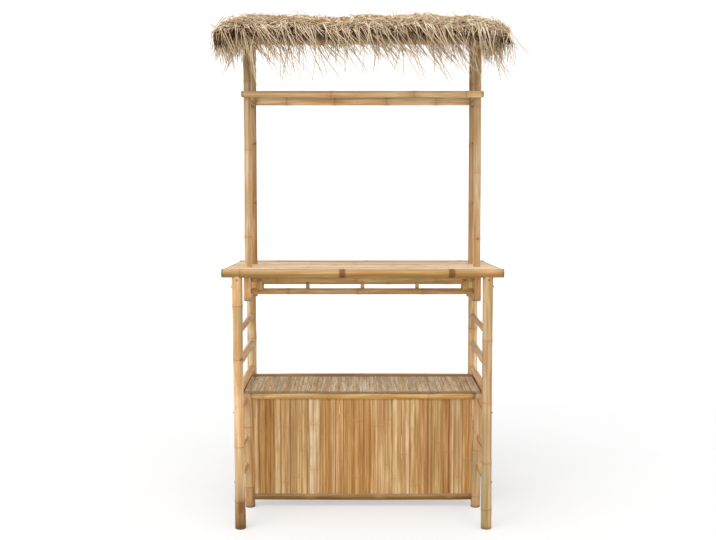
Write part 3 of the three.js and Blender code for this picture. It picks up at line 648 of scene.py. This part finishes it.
def warped(rows, left, right, foot):
    """Strip rows raised to their foot, with edges that wander a little, drawn in at the slits."""
    result = []
    for row, nearest in rows:
        height = row[0][2] + foot
        centre = (left + right) / 2
        pull = []
        for edge in (left, right):
            wander = 0.0005 * sin(14 * height + 90 * edge)
            for slit_x, slit_z, reach in SLITS:
                if abs(edge - slit_x) < SLIT_HALF:
                    fade = exp(-(((height - slit_z) / reach) ** 4))
                    wander += copysign(SLIT_HALF, centre - edge) * fade
            pull.append(wander)
        moved = []
        for x, y, z in row:
            share = (x - centre) / (right - left) + 0.5
            moved.append((x + pull[0] * (1 - share) + pull[1] * share, y, z + foot))
        result.append((moved, nearest))
    return result


def strip_edges(low, high):
    """Where one strip ends and the next begins, at uneven steps that meet the slits."""
    stops = [low] + [slit[0] for slit in SLITS] + [high]
    edges = [low]
    for first, last in zip(stops, stops[1:]):
        widths = []
        while sum(widths) < last - first:
            widths.append(float(random.choice(STRIP_WIDTHS, p=STRIP_WIDTH_CHANCES)))
        scale = (last - first) / sum(widths)
        x = first
        for width in widths:
            x += width * scale
            edges.append(x)
    return edges


def build_panel():
    """The panel's split bamboo strips, uneven in width and tone, on two battens behind them."""
    low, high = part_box("panel_strips")
    length = high.z - low.z
    back = high.y - PANEL_BACK
    edges = strip_edges(low.x, high.x)
    strips = []
    for left, right in zip(edges, edges[1:]):
        nodes = [uniform(0.1, 0.9) * length]
        if uniform() < SECOND_NODE_CHANCE:
            nodes.append((nodes[0] / length + SECOND_NODE_SHARE) % 1 * length)
        rows = crowned_strip((left + right) / 2, (right - left) / 2 + STRIP_LAP, length,
                             uniform(0.002, 0.0034), STRIP_CROWN, sorted(nodes))
        rows = warped(rows, left, right, low.z)
        strips.append({"rows": rows, "shift": Vector((0, back, 0)), **own_look(),
                       "tint": STRIP_TINTS[random.integers(len(STRIP_TINTS))],
                       "seams": random.choice(SEAM_SHADE_STRENGTHS, 2).tolist()})
    piece = strips_object("panel_split_strips", strips)
    seat(piece, split_skin, "strips", "panel_strips")

    along_x = Matrix(((0, 0, 1), (0, -1, 0), (1, 0, 0)))
    for share in PANEL_BATTENS:
        rows = crowned_strip(0, BATTEN_HALF, high.x - low.x, 0.006, 0.001, [0.3, 0.62])
        strip = {"rows": rows, "tone": share, "seed": 9 * share}
        piece = strips_object(f"panel_batten_{round(100 * share)}", [strip])
        put(piece, (low.x, back, low.z + share * length), along_x)
        seat(piece, split_skin, "strips")


build_panel()

REED_WIDTH = 0.0064
REED_THICKNESS, REED_CROWN = 0.0036, 0.0024
REED_INSET = 0.004  # how much shorter a reed is than the mat
MAT_THICKNESS = 0.0065
EDGE_REEDS = 2
# Painted shade on the outermost reeds, which lie in the shade under the side rails
EDGE_REED_SHADE = (134, 110, 88)
NEW_TONE_CHANCE = 0.45  # how often a reed differs in tone from its neighbour


def build_mat():
    """The shelf: thin reeds lying front to back, side by side."""
    low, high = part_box("shelf_reed_mat")
    count = int((high.x - low.x) / REED_WIDTH)
    step = (high.x - low.x) / count
    depth = high.y - low.y
    rise = high.z - low.z - MAT_THICKNESS
    length = hypot(depth, rise)
    reed_length = length - REED_INSET
    strips = []
    tone = 0.5
    for i in range(count):
        if uniform() < NEW_TONE_CHANCE:
            tone = uniform(0.1, 0.9)
        half = step / 2 * uniform(0.9, 1)
        start = uniform(0, 0.003)
        rows = crowned_strip(low.x + step * (i + 0.5), half, reed_length, REED_THICKNESS,
                             REED_CROWN * uniform(0.7, 1.1),
                             [uniform(0.2, 0.8) * length], 4)
        strips.append({"rows": rows, "shift": Vector((0, 0, start)), "tone": tone,
                       "tint": EDGE_REED_SHADE if min(i, count - 1 - i) < EDGE_REEDS else UNTINTED,
                       "seed": uniform(0, 50), "length": reed_length})
    piece = strips_object("shelf_reeds", strips)
    along_y = Matrix(((1, 0, 0), (0, 0, 1), (0, -1, 0)))
    tilt = Matrix.Rotation(atan2(rise, depth), 3, "X")
    put(piece, (0, low.y, low.z), tilt @ along_y)
    seat(piece, reed_skin, "reed", "shelf_reed_mat")


build_mat()


# Bolts through the legs

BOLT_HEIGHTS = (0.925, 0.446, 0.179)
BOLT_RADIUS = 0.0045
BOLT_RISE = 0.0032
BOLT_SIDES = 16
BOLT_PROFILE = ((1, -0.5), (1, 0.25), (0.82, 0.62), (0.5, 0.9), (0.15, 1))


def metal_material():
    look = Shader("bolt_metal")
    grain = look.noise(look.where(), 900)
    colour = look.mix(grain, linear(138, 120, 98), linear(196, 176, 150))
    return look.finish(colour, 0.5, {"Metallic": 0.7})


bolt_metal = metal_material()


def build_bolt(name, place, direction):
    """A domed bolt head with a flat rim."""
    verts = []
    for share, rise in BOLT_PROFILE:
        r = BOLT_RADIUS * share
        for i in range(BOLT_SIDES):
            angle = tau * i / BOLT_SIDES
            verts.append((r * cos(angle), r * sin(angle), BOLT_RISE * rise))
    faces = tube_faces(range(0, len(verts), BOLT_SIDES), BOLT_SIDES)
    del faces[-2]  # open inside the leg
    piece = make_object(name, verts, faces)
    put(piece, place, direction.to_track_quat("Z", "Y").to_matrix())
    seat(piece, bolt_metal, "bamboo")


for leg_name in sorted(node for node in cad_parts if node.startswith("leg_")):
    low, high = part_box(leg_name)
    centre = middle_of(leg_name)
    leg_radius = (high.x - low.x) / 2 / (1 + RIDGE_SHARE)
    sign = copysign(1, centre.x)
    for number, height in enumerate(BOLT_HEIGHTS, 1):
        share = (height - low.z) / (high.z - low.z)
        reach = leg_radius * np.interp(share, *GIRTHS.get(leg_name, EVEN_GIRTH))
        shift = np.interp(share, (0, 1), SHIFTS.get(leg_name, (0, 0)))
        place = Vector((centre.x + shift + sign * reach, centre.y, height))
        build_bolt(f"{leg_name}_bolt_{number}", place, Vector((sign, 0, 0)))


# Thatch: three courses of dry strands, each on a bed painted dark brown as the shade that shows
# between them

PITCH = radians(8.5)
ROOF_HALF = 0.543
ROOF_MIDDLE = -0.004
REACH = np.array([0.628, 0.322, 9])  # no strand passes these in X, Y and Z
COURSES = {
    # nose and tail in Y, height of the nose's top, and of the tail's top
    "front": (-0.287, -0.096, 1.908, 1.905),
    "middle": (-0.156, 0.094, 1.944, 1.935),
    "rear": (0.036, 0.287, 1.974, 1.965),
}
BED_DROP = 0.014
BED_ROUNDING = 0.012
BED_COLUMNS, BED_ROWS = 120, 8
END_FALL = 0.15
BROW_BACK = 0.004  # the brow's height is taken this far behind the nose
# Long strands that hang before the roof posts: X, fall, sideways lean
POST_STRANDS = (
    (-0.428, 0.17, 0.016), (-0.42, 0.2, 0.03), (-0.414, 0.21, 0.024), (-0.423, 0.14, 0.05),
    (-0.436, 0.12, -0.012), (-0.408, 0.12, 0.02), (-0.43, 0.19, 0.036), (-0.416, 0.16, 0.008),
    (0.392, 0.1, 0.02), (0.405, 0.14, 0.03), (0.413, 0.12, -0.01), (0.398, 0.17, 0.034),
)
POST_STRAND_Y = -0.282


def underside(y):
    return 1.890 + y * np.tan(PITCH)


def end_share(x):
    """How full the roof is at x: whole in the middle, rounded down at its ends."""
    past = np.clip((np.abs(x - ROOF_MIDDLE) - (ROOF_HALF - END_FALL)) / END_FALL, 0, 1)
    return 0.3 + 0.7 * np.sqrt(1 - 0.999 * past**2)


def course_top(course, x, y):
    nose, tail, nose_top, tail_top = COURSES[course]
    share = np.clip((y - nose) / (tail - nose), 0, 1)
    top = nose_top + share * (tail_top - nose_top)
    under = underside(y)
    waves = 0.004 * np.sin(11 * x + 3 * y) + 0.003 * np.sin(29 * x + 1.7)
    return under + (top + waves - under) * end_share(x)


def across_roof(count, inset=0):
    return ROOF_MIDDLE + uniform(-ROOF_HALF + inset, ROOF_HALF - inset, count)


def within_roof(x, inset):
    return np.clip(x, ROOF_MIDDLE - ROOF_HALF + inset, ROOF_MIDDLE + ROOF_HALF - inset)


def lean_at(x):
    """Sideways lean of hanging strands: to the right along most of the front, less at its ends."""
    return np.where(x < -0.45, -0.08, np.where(x > 0.47, 0.22, 0.5)) + 0.12 * np.sin(9 * x + 1)


def smooth_paths(keys, steps):
    """Points along curves through key points, of shape (strands, keys, 3)."""
    before = 2 * keys[:, :1] - keys[:, 1:2]
    after = 2 * keys[:, -1:] - keys[:, -2:-1]
    extended = np.concatenate([before, keys, after], 1)
    points = []
    for place in np.linspace(0, keys.shape[1] - 1 - 1e-6, steps):
        i = int(place)
        t = place - i
        a, b, c, d = (extended[:, i + k] for k in range(4))
        points.append(0.5 * (2 * b + (c - a) * t + (2 * a - 5 * b + 4 * c - d) * t**2
                             + (3 * b - a - 3 * c + d) * t**3))
    return np.stack(points, 1)


def family(keys, steps, width, tones):
    """Strands through key points, each given as X, Y and Z, with widths and tones between limits."""
    points = [np.stack(np.broadcast_arrays(*key), -1) for key in keys]
    paths = smooth_paths(np.stack(points, 1), steps)
    return paths, uniform(*width, len(paths)), uniform(*tones, len(paths))


def strand_mesh(name, *families):
    """One mesh of folded blades. A family is (paths, widths, tones)."""
    verts, faces, tones, shares = [], [], [], []
    total = 0
    for paths, widths, tone in families:
        strands, steps, _ = paths.shape
        paths = np.clip(paths, -REACH, REACH)
        tangents = np.gradient(paths, axis=1)
        tangents /= np.linalg.norm(tangents, axis=2, keepdims=True) + 1e-9
        roll = normal(0, 1, (strands, 1, 3)) * 0.7 + np.array([0, -1, 0.6])
        side = np.cross(tangents, roll)
        side /= np.linalg.norm(side, axis=2, keepdims=True) + 1e-9
        up = np.cross(side, tangents)
        along = np.linspace(0, 1, steps)[None, :, None]
        taper = np.minimum(1, 3.2 * (1 - along) ** 0.8 + 0.05) * np.minimum(1, 0.55 + 3 * along)
        half = widths[:, None, None] * taper / 2
        rows = np.stack([paths - side * half, paths + up * half * 0.45, paths + side * half], 2)
        verts.append(rows.reshape(-1, 3))
        index = total + np.arange(strands * steps * 3).reshape(strands, steps, 3)
        for k in (0, 1):
            corners = (index[:, :-1, k], index[:, :-1, k + 1], index[:, 1:, k + 1], index[:, 1:, k])
            faces.append(np.stack(corners, -1).reshape(-1, 4))
        tones.append(np.repeat(tone, steps * 3))
        shares.append(np.tile(np.repeat(np.linspace(0, 1, steps), 3), strands))
        total += strands * steps * 3
    attributes = {"tone": np.concatenate(tones), "along": np.concatenate(shares)}
    piece = make_object(name, np.concatenate(verts), np.concatenate(faces), attributes)
    seat(piece, strand_skin, "thatch")


def draped(count, course, outward, drop, back, width, tones, lean=1, sink=0):
    """Strands laid on a course's top or sunk into it, bent over its nose and hanging from it."""
    edge = COURSES[course][0 if outward < 0 else 1]
    x = across_roof(count)
    start = edge - outward * uniform(*back, count)
    tilt = lean * lean_at(x) + normal(0, 0.3, count)
    fall = uniform(*drop, count) * uniform(0.55, 1, count) ** 0.6
    stand = uniform(0, 0.016, count)
    top = course_top(course, x, start) + uniform(-0.004, 0.01, count) - sink
    brow = course_top(course, x, edge) + uniform(-0.012, 0.008, count) - sink
    reach = outward * (0.006 + stand)
    keys = [
        (x - 0.25 * tilt * np.abs(edge - start), start, top),
        (x, edge + 0.3 * reach, brow),
        (x + 0.25 * tilt * fall, edge + reach, brow - 0.28 * fall),
        (x + 0.62 * tilt * fall, edge + 1.1 * reach, brow - 0.62 * fall),
        (x + tilt * fall + normal(0, 0.01, count), edge + reach, brow - fall),
    ]
    return family(keys, 9, width, tones)


def hanging(count, y_range, drop, width, tones, bias=2.2):
    """Straighter strands hanging from the underside, the more short ones the higher the bias."""
    x = across_roof(count, 0.01)
    y = uniform(*y_range, count)
    z = underside(y) + uniform(0, 0.02, count) * end_share(x)
    fall = drop[0] + (drop[1] - drop[0]) * uniform(0, 1, count) ** bias
    tilt = np.clip(lean_at(x) + normal(0, 0.36, count), -0.5, 0.95)
    bend = normal(0, 0.12, count)
    keys = [
        (x, y, z),
        (x + 0.4 * tilt * fall, y + normal(0, 0.004, count), z - 0.4 * fall),
        (x + (tilt + bend) * fall, y + normal(0, 0.012, count), z - fall),
    ]
    return family(keys, 7, width, tones)


def tangled(count, course, y_range, length, width, tones, lift=0.012):
    """Loose strands lying on top, mostly along the roof."""
    nose, tail, _, _ = COURSES[course]
    x = across_roof(count)
    y = uniform(*y_range, count)
    heading = normal(0, 0.42, count) + np.where(uniform(0, 1, count) < 0.5, 0, pi)
    size = uniform(*length, count)
    curl = normal(0, 0.35, count)
    keys = []
    for share in (-0.5, -0.15, 0.2, 0.5):
        px = within_roof(x + share * size * np.cos(heading + curl * share), 0.004)
        py = y + share * size * np.sin(heading + curl * share)
        py = np.clip(py, nose - 0.014, tail + 0.014)
        edge_drop = np.maximum(0, nose + 0.012 - py) * 1.2
        pz = course_top(course, px, py) + uniform(-0.002, lift, count) - edge_drop
        keys.append((px, py, pz))
    return family(keys, 8, width, tones)


def end_splay(count, course, sign, drop, width, tones, spread):
    """Strands that spill over the rounded ends of the roof, the further out the larger the spread."""
    nose, tail, _, _ = COURSES[course]
    y = uniform(nose, tail, count)
    x = ROOF_MIDDLE + sign * uniform(ROOF_HALF - 0.09, ROOF_HALF - 0.005, count)
    z = course_top(course, x, y) + uniform(-0.012, 0.006, count)
    out = sign * spread * uniform(0, 0.03, count)
    fall = uniform(*drop, count)
    keys = [
        (x, y, z),
        (x + 0.7 * out + sign * 0.006, y + normal(0, 0.01, count), z - 0.15 * fall),
        (x + 1.1 * out + sign * 0.008, y + normal(0, 0.014, count), z - 0.55 * fall),
        (x + out + sign * 0.004, y + normal(0, 0.02, count), z - fall),
    ]
    return family(keys, 8, width, tones)


def band(count, course, rise, length, width, tones):
    """Strands tangled along a course's nose, on its front face."""
    nose = COURSES[course][0]
    x = across_roof(count, 0.01)
    brow = course_top(course, x, nose + BROW_BACK)
    height = uniform(*rise, count)
    slope = normal(0, 0.34, count)
    size = uniform(*length, count)
    curl = normal(0, 0.012, (4, count))
    keys = []
    for i, share in enumerate((-0.5, -0.17, 0.17, 0.5)):
        px = within_roof(x + share * size * np.cos(slope), -0.006)
        fall = course_top(course, px, nose + BROW_BACK) - brow
        pz = brow + fall + height * end_share(px) - share * size * np.sin(slope) + 0.5 * curl[i]
        bulge = 0.01 + 0.014 * np.cos(np.clip(height / 0.05, -1, 1) * 1.2)
        py = nose - bulge - uniform(0, 0.008, count)
        keys.append((px, py, pz))
    return family(keys, 8, width, tones)


def bent(count, course, drop, width, tones, lean=1):
    """Pale strands that come out of the nose's tangle, bend over and hang before the dark gaps."""
    nose = COURSES[course][0]
    x = across_roof(count, 0.005)
    brow = course_top(course, x, nose + BROW_BACK)
    brow -= uniform(0.006, 0.034, count) * end_share(x)
    tilt = lean * lean_at(x) + normal(0, 0.34, count)
    fall = uniform(*drop, count)
    out = uniform(0.016, 0.03, count)
    keys = [
        (x - 0.5 * tilt * 0.03, nose - 0.006, brow - 0.002),
        (x, nose - 0.9 * out, brow + uniform(-0.002, 0.006, count)),
        (x + 0.3 * tilt * fall, nose - out - 0.004, brow - 0.3 * fall),
        (x + 0.65 * tilt * fall, nose - 0.9 * out, brow - 0.66 * fall),
        (x + 1.05 * tilt * fall, nose - 0.8 * out, brow - fall),
    ]
    return family(keys, 10, width, tones)


def strays():
    """Single long thin strands, off the roof's outline, under its front and before its posts."""
    keys = []

    def add_strand(x, y, z, *steps):
        keys.append([(x, y, z)] + [(x + dx, y + dy, z + dz) for dx, dy, dz in steps])

    for _ in range(26):
        x, y = uniform(-0.5, 0.5), uniform(-0.24, 0.2)
        z = underside(y) + 0.066 + 0.012 * uniform()
        reach, rise = normal(0, 0.09), uniform(0.004, 0.022)
        add_strand(x, y, z, (0.4 * reach, -0.01, rise), (0.8 * reach, 0, 0.9 * rise),
                   (1.2 * reach, 0.01, 0.2 * rise))
    for sign in (-1, 1):
        for _ in range(4):
            y = uniform(-0.25, 0.2)
            z = underside(y) + uniform(0.005, 0.03)
            reach = sign * uniform(0.03, 0.062)
            add_strand(ROOF_MIDDLE + sign * (ROOF_HALF - 0.02), y, z, (0.5 * reach, 0, 0.001),
                       (0.8 * reach, 0, -0.003), (reach, 0, -0.008))
    for _ in range(22):
        x, y = uniform(-0.55, 0.52), uniform(-0.29, -0.25)
        fall = uniform(0.12, 0.17)
        lean = normal(0.08, 0.2) * fall
        add_strand(x, y, underside(y) + 0.01, (0.3 * lean, 0, -0.35 * fall),
                   (0.7 * lean, 0, -0.7 * fall), (lean, 0.004, -fall))
    for x, fall, lean in POST_STRANDS:
        add_strand(x, POST_STRAND_Y, underside(POST_STRAND_Y) + 0.02,
                   (0.3 * lean, -0.01, -0.35 * fall), (0.6 * lean, -0.004, -0.7 * fall),
                   (lean, 0, -fall))
    paths, widths, tones = family(np.transpose(keys, (1, 2, 0)), 10, (0.0012, 0.002), (0.45, 0.85))
    widths[-len(POST_STRANDS):] *= 1.5
    return paths, widths, tones


def thatch_material():
    """Dry strands: each its own tone from dark brown to pale straw, greyer towards its tip."""
    look = Shader("thatch_strand")
    tone = look.read("tone")
    along = look.read("along")
    mottle = look.noise(look.where(), 70)
    value = look.math("ADD", tone, look.times(look.math("SUBTRACT", mottle, 0.5), 0.3))
    colour = look.ramp(value, (0, linear(55, 30, 8)), (0.18, linear(109, 70, 31)),
                       (0.38, linear(168, 130, 84)), (0.6, linear(211, 183, 146)),
                       (0.8, linear(238, 217, 187)), (1, linear(261, 249, 227)))
    tip = look.ramp(along, (0.45, BLACK), (1, WHITE))
    fade = look.times(tip, look.times(tone, 1.1), clamp=True)
    colour = look.mix(fade, colour, linear(188, 170, 140))
    root = look.ramp(along, (0, linear(170, 140, 106)), (0.3, WHITE))
    colour = look.mix(0.6, colour, root, "MULTIPLY")
    gloss = {"Specular IOR Level": 0.15, "Sheen Weight": 0.05}
    return look.finish(colour, 0.75, gloss, mottle, 0.0004)


def bed_material():
    look = Shader("thatch_bed")
    clumps = look.noise(look.where(), 45, 5, 0.7)
    # Painted shade: the inner strands are coloured dark brown, as they look in the shade of the
    # strands above
    colour = look.ramp(clumps, (0.35, linear(42, 25, 10)), (0.6, linear(94, 63, 32)))
    return look.finish(colour, 0.95, {"Specular IOR Level": 0.05}, clumps, 0.006)


def build_bed(course):
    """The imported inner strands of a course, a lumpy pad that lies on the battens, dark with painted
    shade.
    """
    nose, tail, _, _ = COURSES[course]
    verts = []
    xs = ROOF_MIDDLE + np.linspace(-ROOF_HALF + 0.004, ROOF_HALF - 0.004, BED_COLUMNS)
    ys = np.linspace(nose + 0.006, tail - 0.002, BED_ROWS)
    for x in xs:
        for y in ys:
            rounding = BED_ROUNDING * float(y == ys[0])
            lump = 0.003 * sin(60 * x + 40 * y) + 0.002 * sin(133 * x - 90 * y)
            top = float(course_top(course, x, y)) - BED_DROP * end_share(x)
            verts.append((x, y, top - rounding + lump))
        for y in reversed(ys):
            verts.append((x, y, float(underside(y)) + 0.001))
    width = 2 * BED_ROWS
    faces = [face[::-1] for face in tube_faces(range(0, len(verts), width), width)]
    piece = make_object(f"thatch_bed_{course}", verts, faces)
    seat(piece, shaded_bed_skin, "thatch", f"thatch_course_{course}")


strand_skin = thatch_material()
shaded_bed_skin = bed_material()
for course_name in COURSES:
    build_bed(course_name)

# After the number, place and fall of a family's strands come their widths and their tones
FRONT_NOSE = COURSES["front"][0]
SINK = 0.014  # how deep the dark inner strands start
BROAD = (0.0045, 0.0075)
LOOSE = (0.0022, 0.004)
strand_mesh(
    "thatch_front",
    # Dark broad strands sunk under the front nose: painted shade between the pale strands
    draped(760, "front", -1, (0.042, 0.066), (0, 0.02), BROAD, (0, 0.12), 0.5, SINK),
    draped(130, "front", -1, (0.06, 0.1), (0, 0.02), (0.0022, 0.0034), (0.1, 0.45)),
    bent(300, "front", (0.04, 0.115), (0.002, 0.0032), (0.45, 0.95)),
    bent(120, "front", (0.02, 0.05), (0.0018, 0.0028), (0.65, 1), 2.2),
    hanging(350, (FRONT_NOSE + 0.002, FRONT_NOSE + 0.03), (0.03, 0.11), (0.0024, 0.0036),
            (0.35, 0.8), 1),
    hanging(210, (FRONT_NOSE - 0.004, FRONT_NOSE + 0.03), (0.08, 0.2), (0.0024, 0.0034),
            (0.4, 0.75), 1.5),
    band(700, "front", (-0.028, 0.006), (0.02, 0.09), (0.0016, 0.0028), (0.3, 1)),
    band(140, "front", (-0.055, -0.025), (0.03, 0.07), (0.0016, 0.0026), (0.4, 0.95)),
    tangled(700, "front", (FRONT_NOSE + 0.006, FRONT_NOSE + 0.05), (0.04, 0.13), (0.0018, 0.0032),
            (0.35, 1)),
    tangled(450, "front", (FRONT_NOSE + 0.03, -0.1), (0.06, 0.18), LOOSE, (0.3, 0.95)),
)
strand_mesh(
    "thatch_middle",
    draped(460, "middle", -1, (0.02, 0.05), (0, 0.1), LOOSE, (0.25, 0.95)),
    tangled(950, "middle", (-0.15, 0.09), (0.06, 0.2), LOOSE, (0.3, 1)),
)
strand_mesh(
    "thatch_rear",
    draped(460, "rear", -1, (0.02, 0.05), (0, 0.1), LOOSE, (0.25, 0.95)),
    tangled(1000, "rear", (0.04, 0.285), (0.06, 0.2), LOOSE, (0.3, 1), 0.008),
    # Dark broad strands sunk at the rear tail: painted shade between the pale strands
    draped(560, "rear", 1, (0.02, 0.036), (0, 0.02), BROAD, (0, 0.22), 0.5, SINK),
    draped(520, "rear", 1, (0.03, 0.056), (0.01, 0.11), (0.0022, 0.0038), (0.3, 0.95)),
    hanging(160, (0.24, 0.285), (0.01, 0.05), (0.0013, 0.0026), (0.3, 0.85)),
)
strand_mesh("thatch_ends", *(
    strands
    for course_name in COURSES
    for sign in (-1, 1)
    for strands in (
        end_splay(110, course_name, sign, (0.045, 0.075), BROAD, (0.06, 0.3), 0.2),
        end_splay(60, course_name, sign, (0.05, 0.12), (0.002, 0.003), (0.3, 0.95), 0.7),
        end_splay(16, course_name, sign, (0.1, 0.17), (0.0018, 0.0026), (0.4, 0.7), 1.1),
    )
))
strand_mesh("thatch_strays", strays())


# Floor and backdrop in one sweep, soft light, and the camera at the photograph's angle

FLOOR_HALF = 9
SWEEP_START = 3
SWEEP_RADIUS = 3
SWEEP_STEPS = 12
WALL_TOP = 8
FILL_NEAR, FILL_FAR = 2, 5  # the backdrop's whitening changes between these places in Y
FLOOR_FILL, WALL_FILL = 0.38, 0.6
WORLD_LIGHT = 1


def sight(look):
    """A socket that is 1 for the camera, mirrors and glass, and 0 for light on the object."""
    seen = look.add("LightPath", out="Is Camera Ray")
    for ray in ("Is Glossy Ray", "Is Transmission Ray"):
        seen = look.math("ADD", seen, look.add("LightPath", out=ray), clamp=True)
    return seen


def build_stage():
    look = Shader("studio_paper")
    where = look.where()
    colour = look.mix(look.noise(where, 3, 2), linear(180, 180, 180), linear(184, 184, 184))
    depth = look.add("SeparateXYZ", {0: where}, out=1)
    fill = look.spread(depth, FILL_NEAR, FILL_FAR, FLOOR_FILL, WALL_FILL)
    paper = look.finish(colour, 0.9, {"Specular IOR Level": 0.1, "Emission Color": WHITE,
                                      "Emission Strength": look.times(fill, sight(look))})
    outline = [(-FLOOR_HALF, 0), (SWEEP_START, 0)]
    for i in range(1, SWEEP_STEPS + 1):
        angle = pi / 2 * i / SWEEP_STEPS
        rise = SWEEP_RADIUS * (1 - cos(angle))
        outline.append((SWEEP_START + SWEEP_RADIUS * sin(angle), rise))
    outline.append((SWEEP_START + SWEEP_RADIUS, WALL_TOP))
    verts = [(x, y, z) for y, z in outline for x in (-FLOOR_HALF, FLOOR_HALF)]
    faces = [(2 * i, 2 * i + 1, 2 * i + 3, 2 * i + 2) for i in range(len(outline) - 1)]
    floor = make_object("studio_sweep", verts, faces)
    floor.data.materials.append(paper)


def add_lamp(name, kind, place, target, energy, **settings):
    """A lamp that shines from a place to a target."""
    light = bpy.data.lights.new(name, kind)
    light.energy = energy
    for key, value in settings.items():
        setattr(light, key, value)
    lamp = link(name, light)
    lamp.location = place
    lamp.rotation_euler = (Vector(target) - Vector(place)).to_track_quat("-Z", "Y").to_euler()


def build_light():
    world = bpy.data.worlds.new("studio")
    world.use_nodes = True
    background = world.node_tree.nodes["Background"]
    background.inputs["Color"].default_value = WHITE
    background.inputs["Strength"].default_value = WORLD_LIGHT
    scene.world = world
    add_lamp("overhead", "SUN", (-0.12, -0.55, 1), (0, 0, 0), 1.5, angle=radians(60))
    add_lamp("key", "AREA", (-2.6, -3.6, 3.4), (0, 0, 1), 36, size=2.4, color=(1, 0.98, 0.95))


CAMERA_PLACE = (-0.0175, -3.827, 1.2225)
CAMERA_PITCH = radians(3.794)
FOCAL_PIXELS = 950
PHOTO_WIDTH = 716
SENSOR = 36


def build_camera():
    camera = bpy.data.cameras.new("photo_camera")
    camera.sensor_width = SENSOR
    camera.lens = SENSOR * FOCAL_PIXELS / PHOTO_WIDTH
    holder = link("photo_camera", camera)
    holder.location = CAMERA_PLACE
    holder.rotation_euler = (pi / 2 - CAMERA_PITCH, 0, 0)
    scene.camera = holder


build_stage()
build_light()
build_camera()

scene.view_settings.view_transform = "Standard"
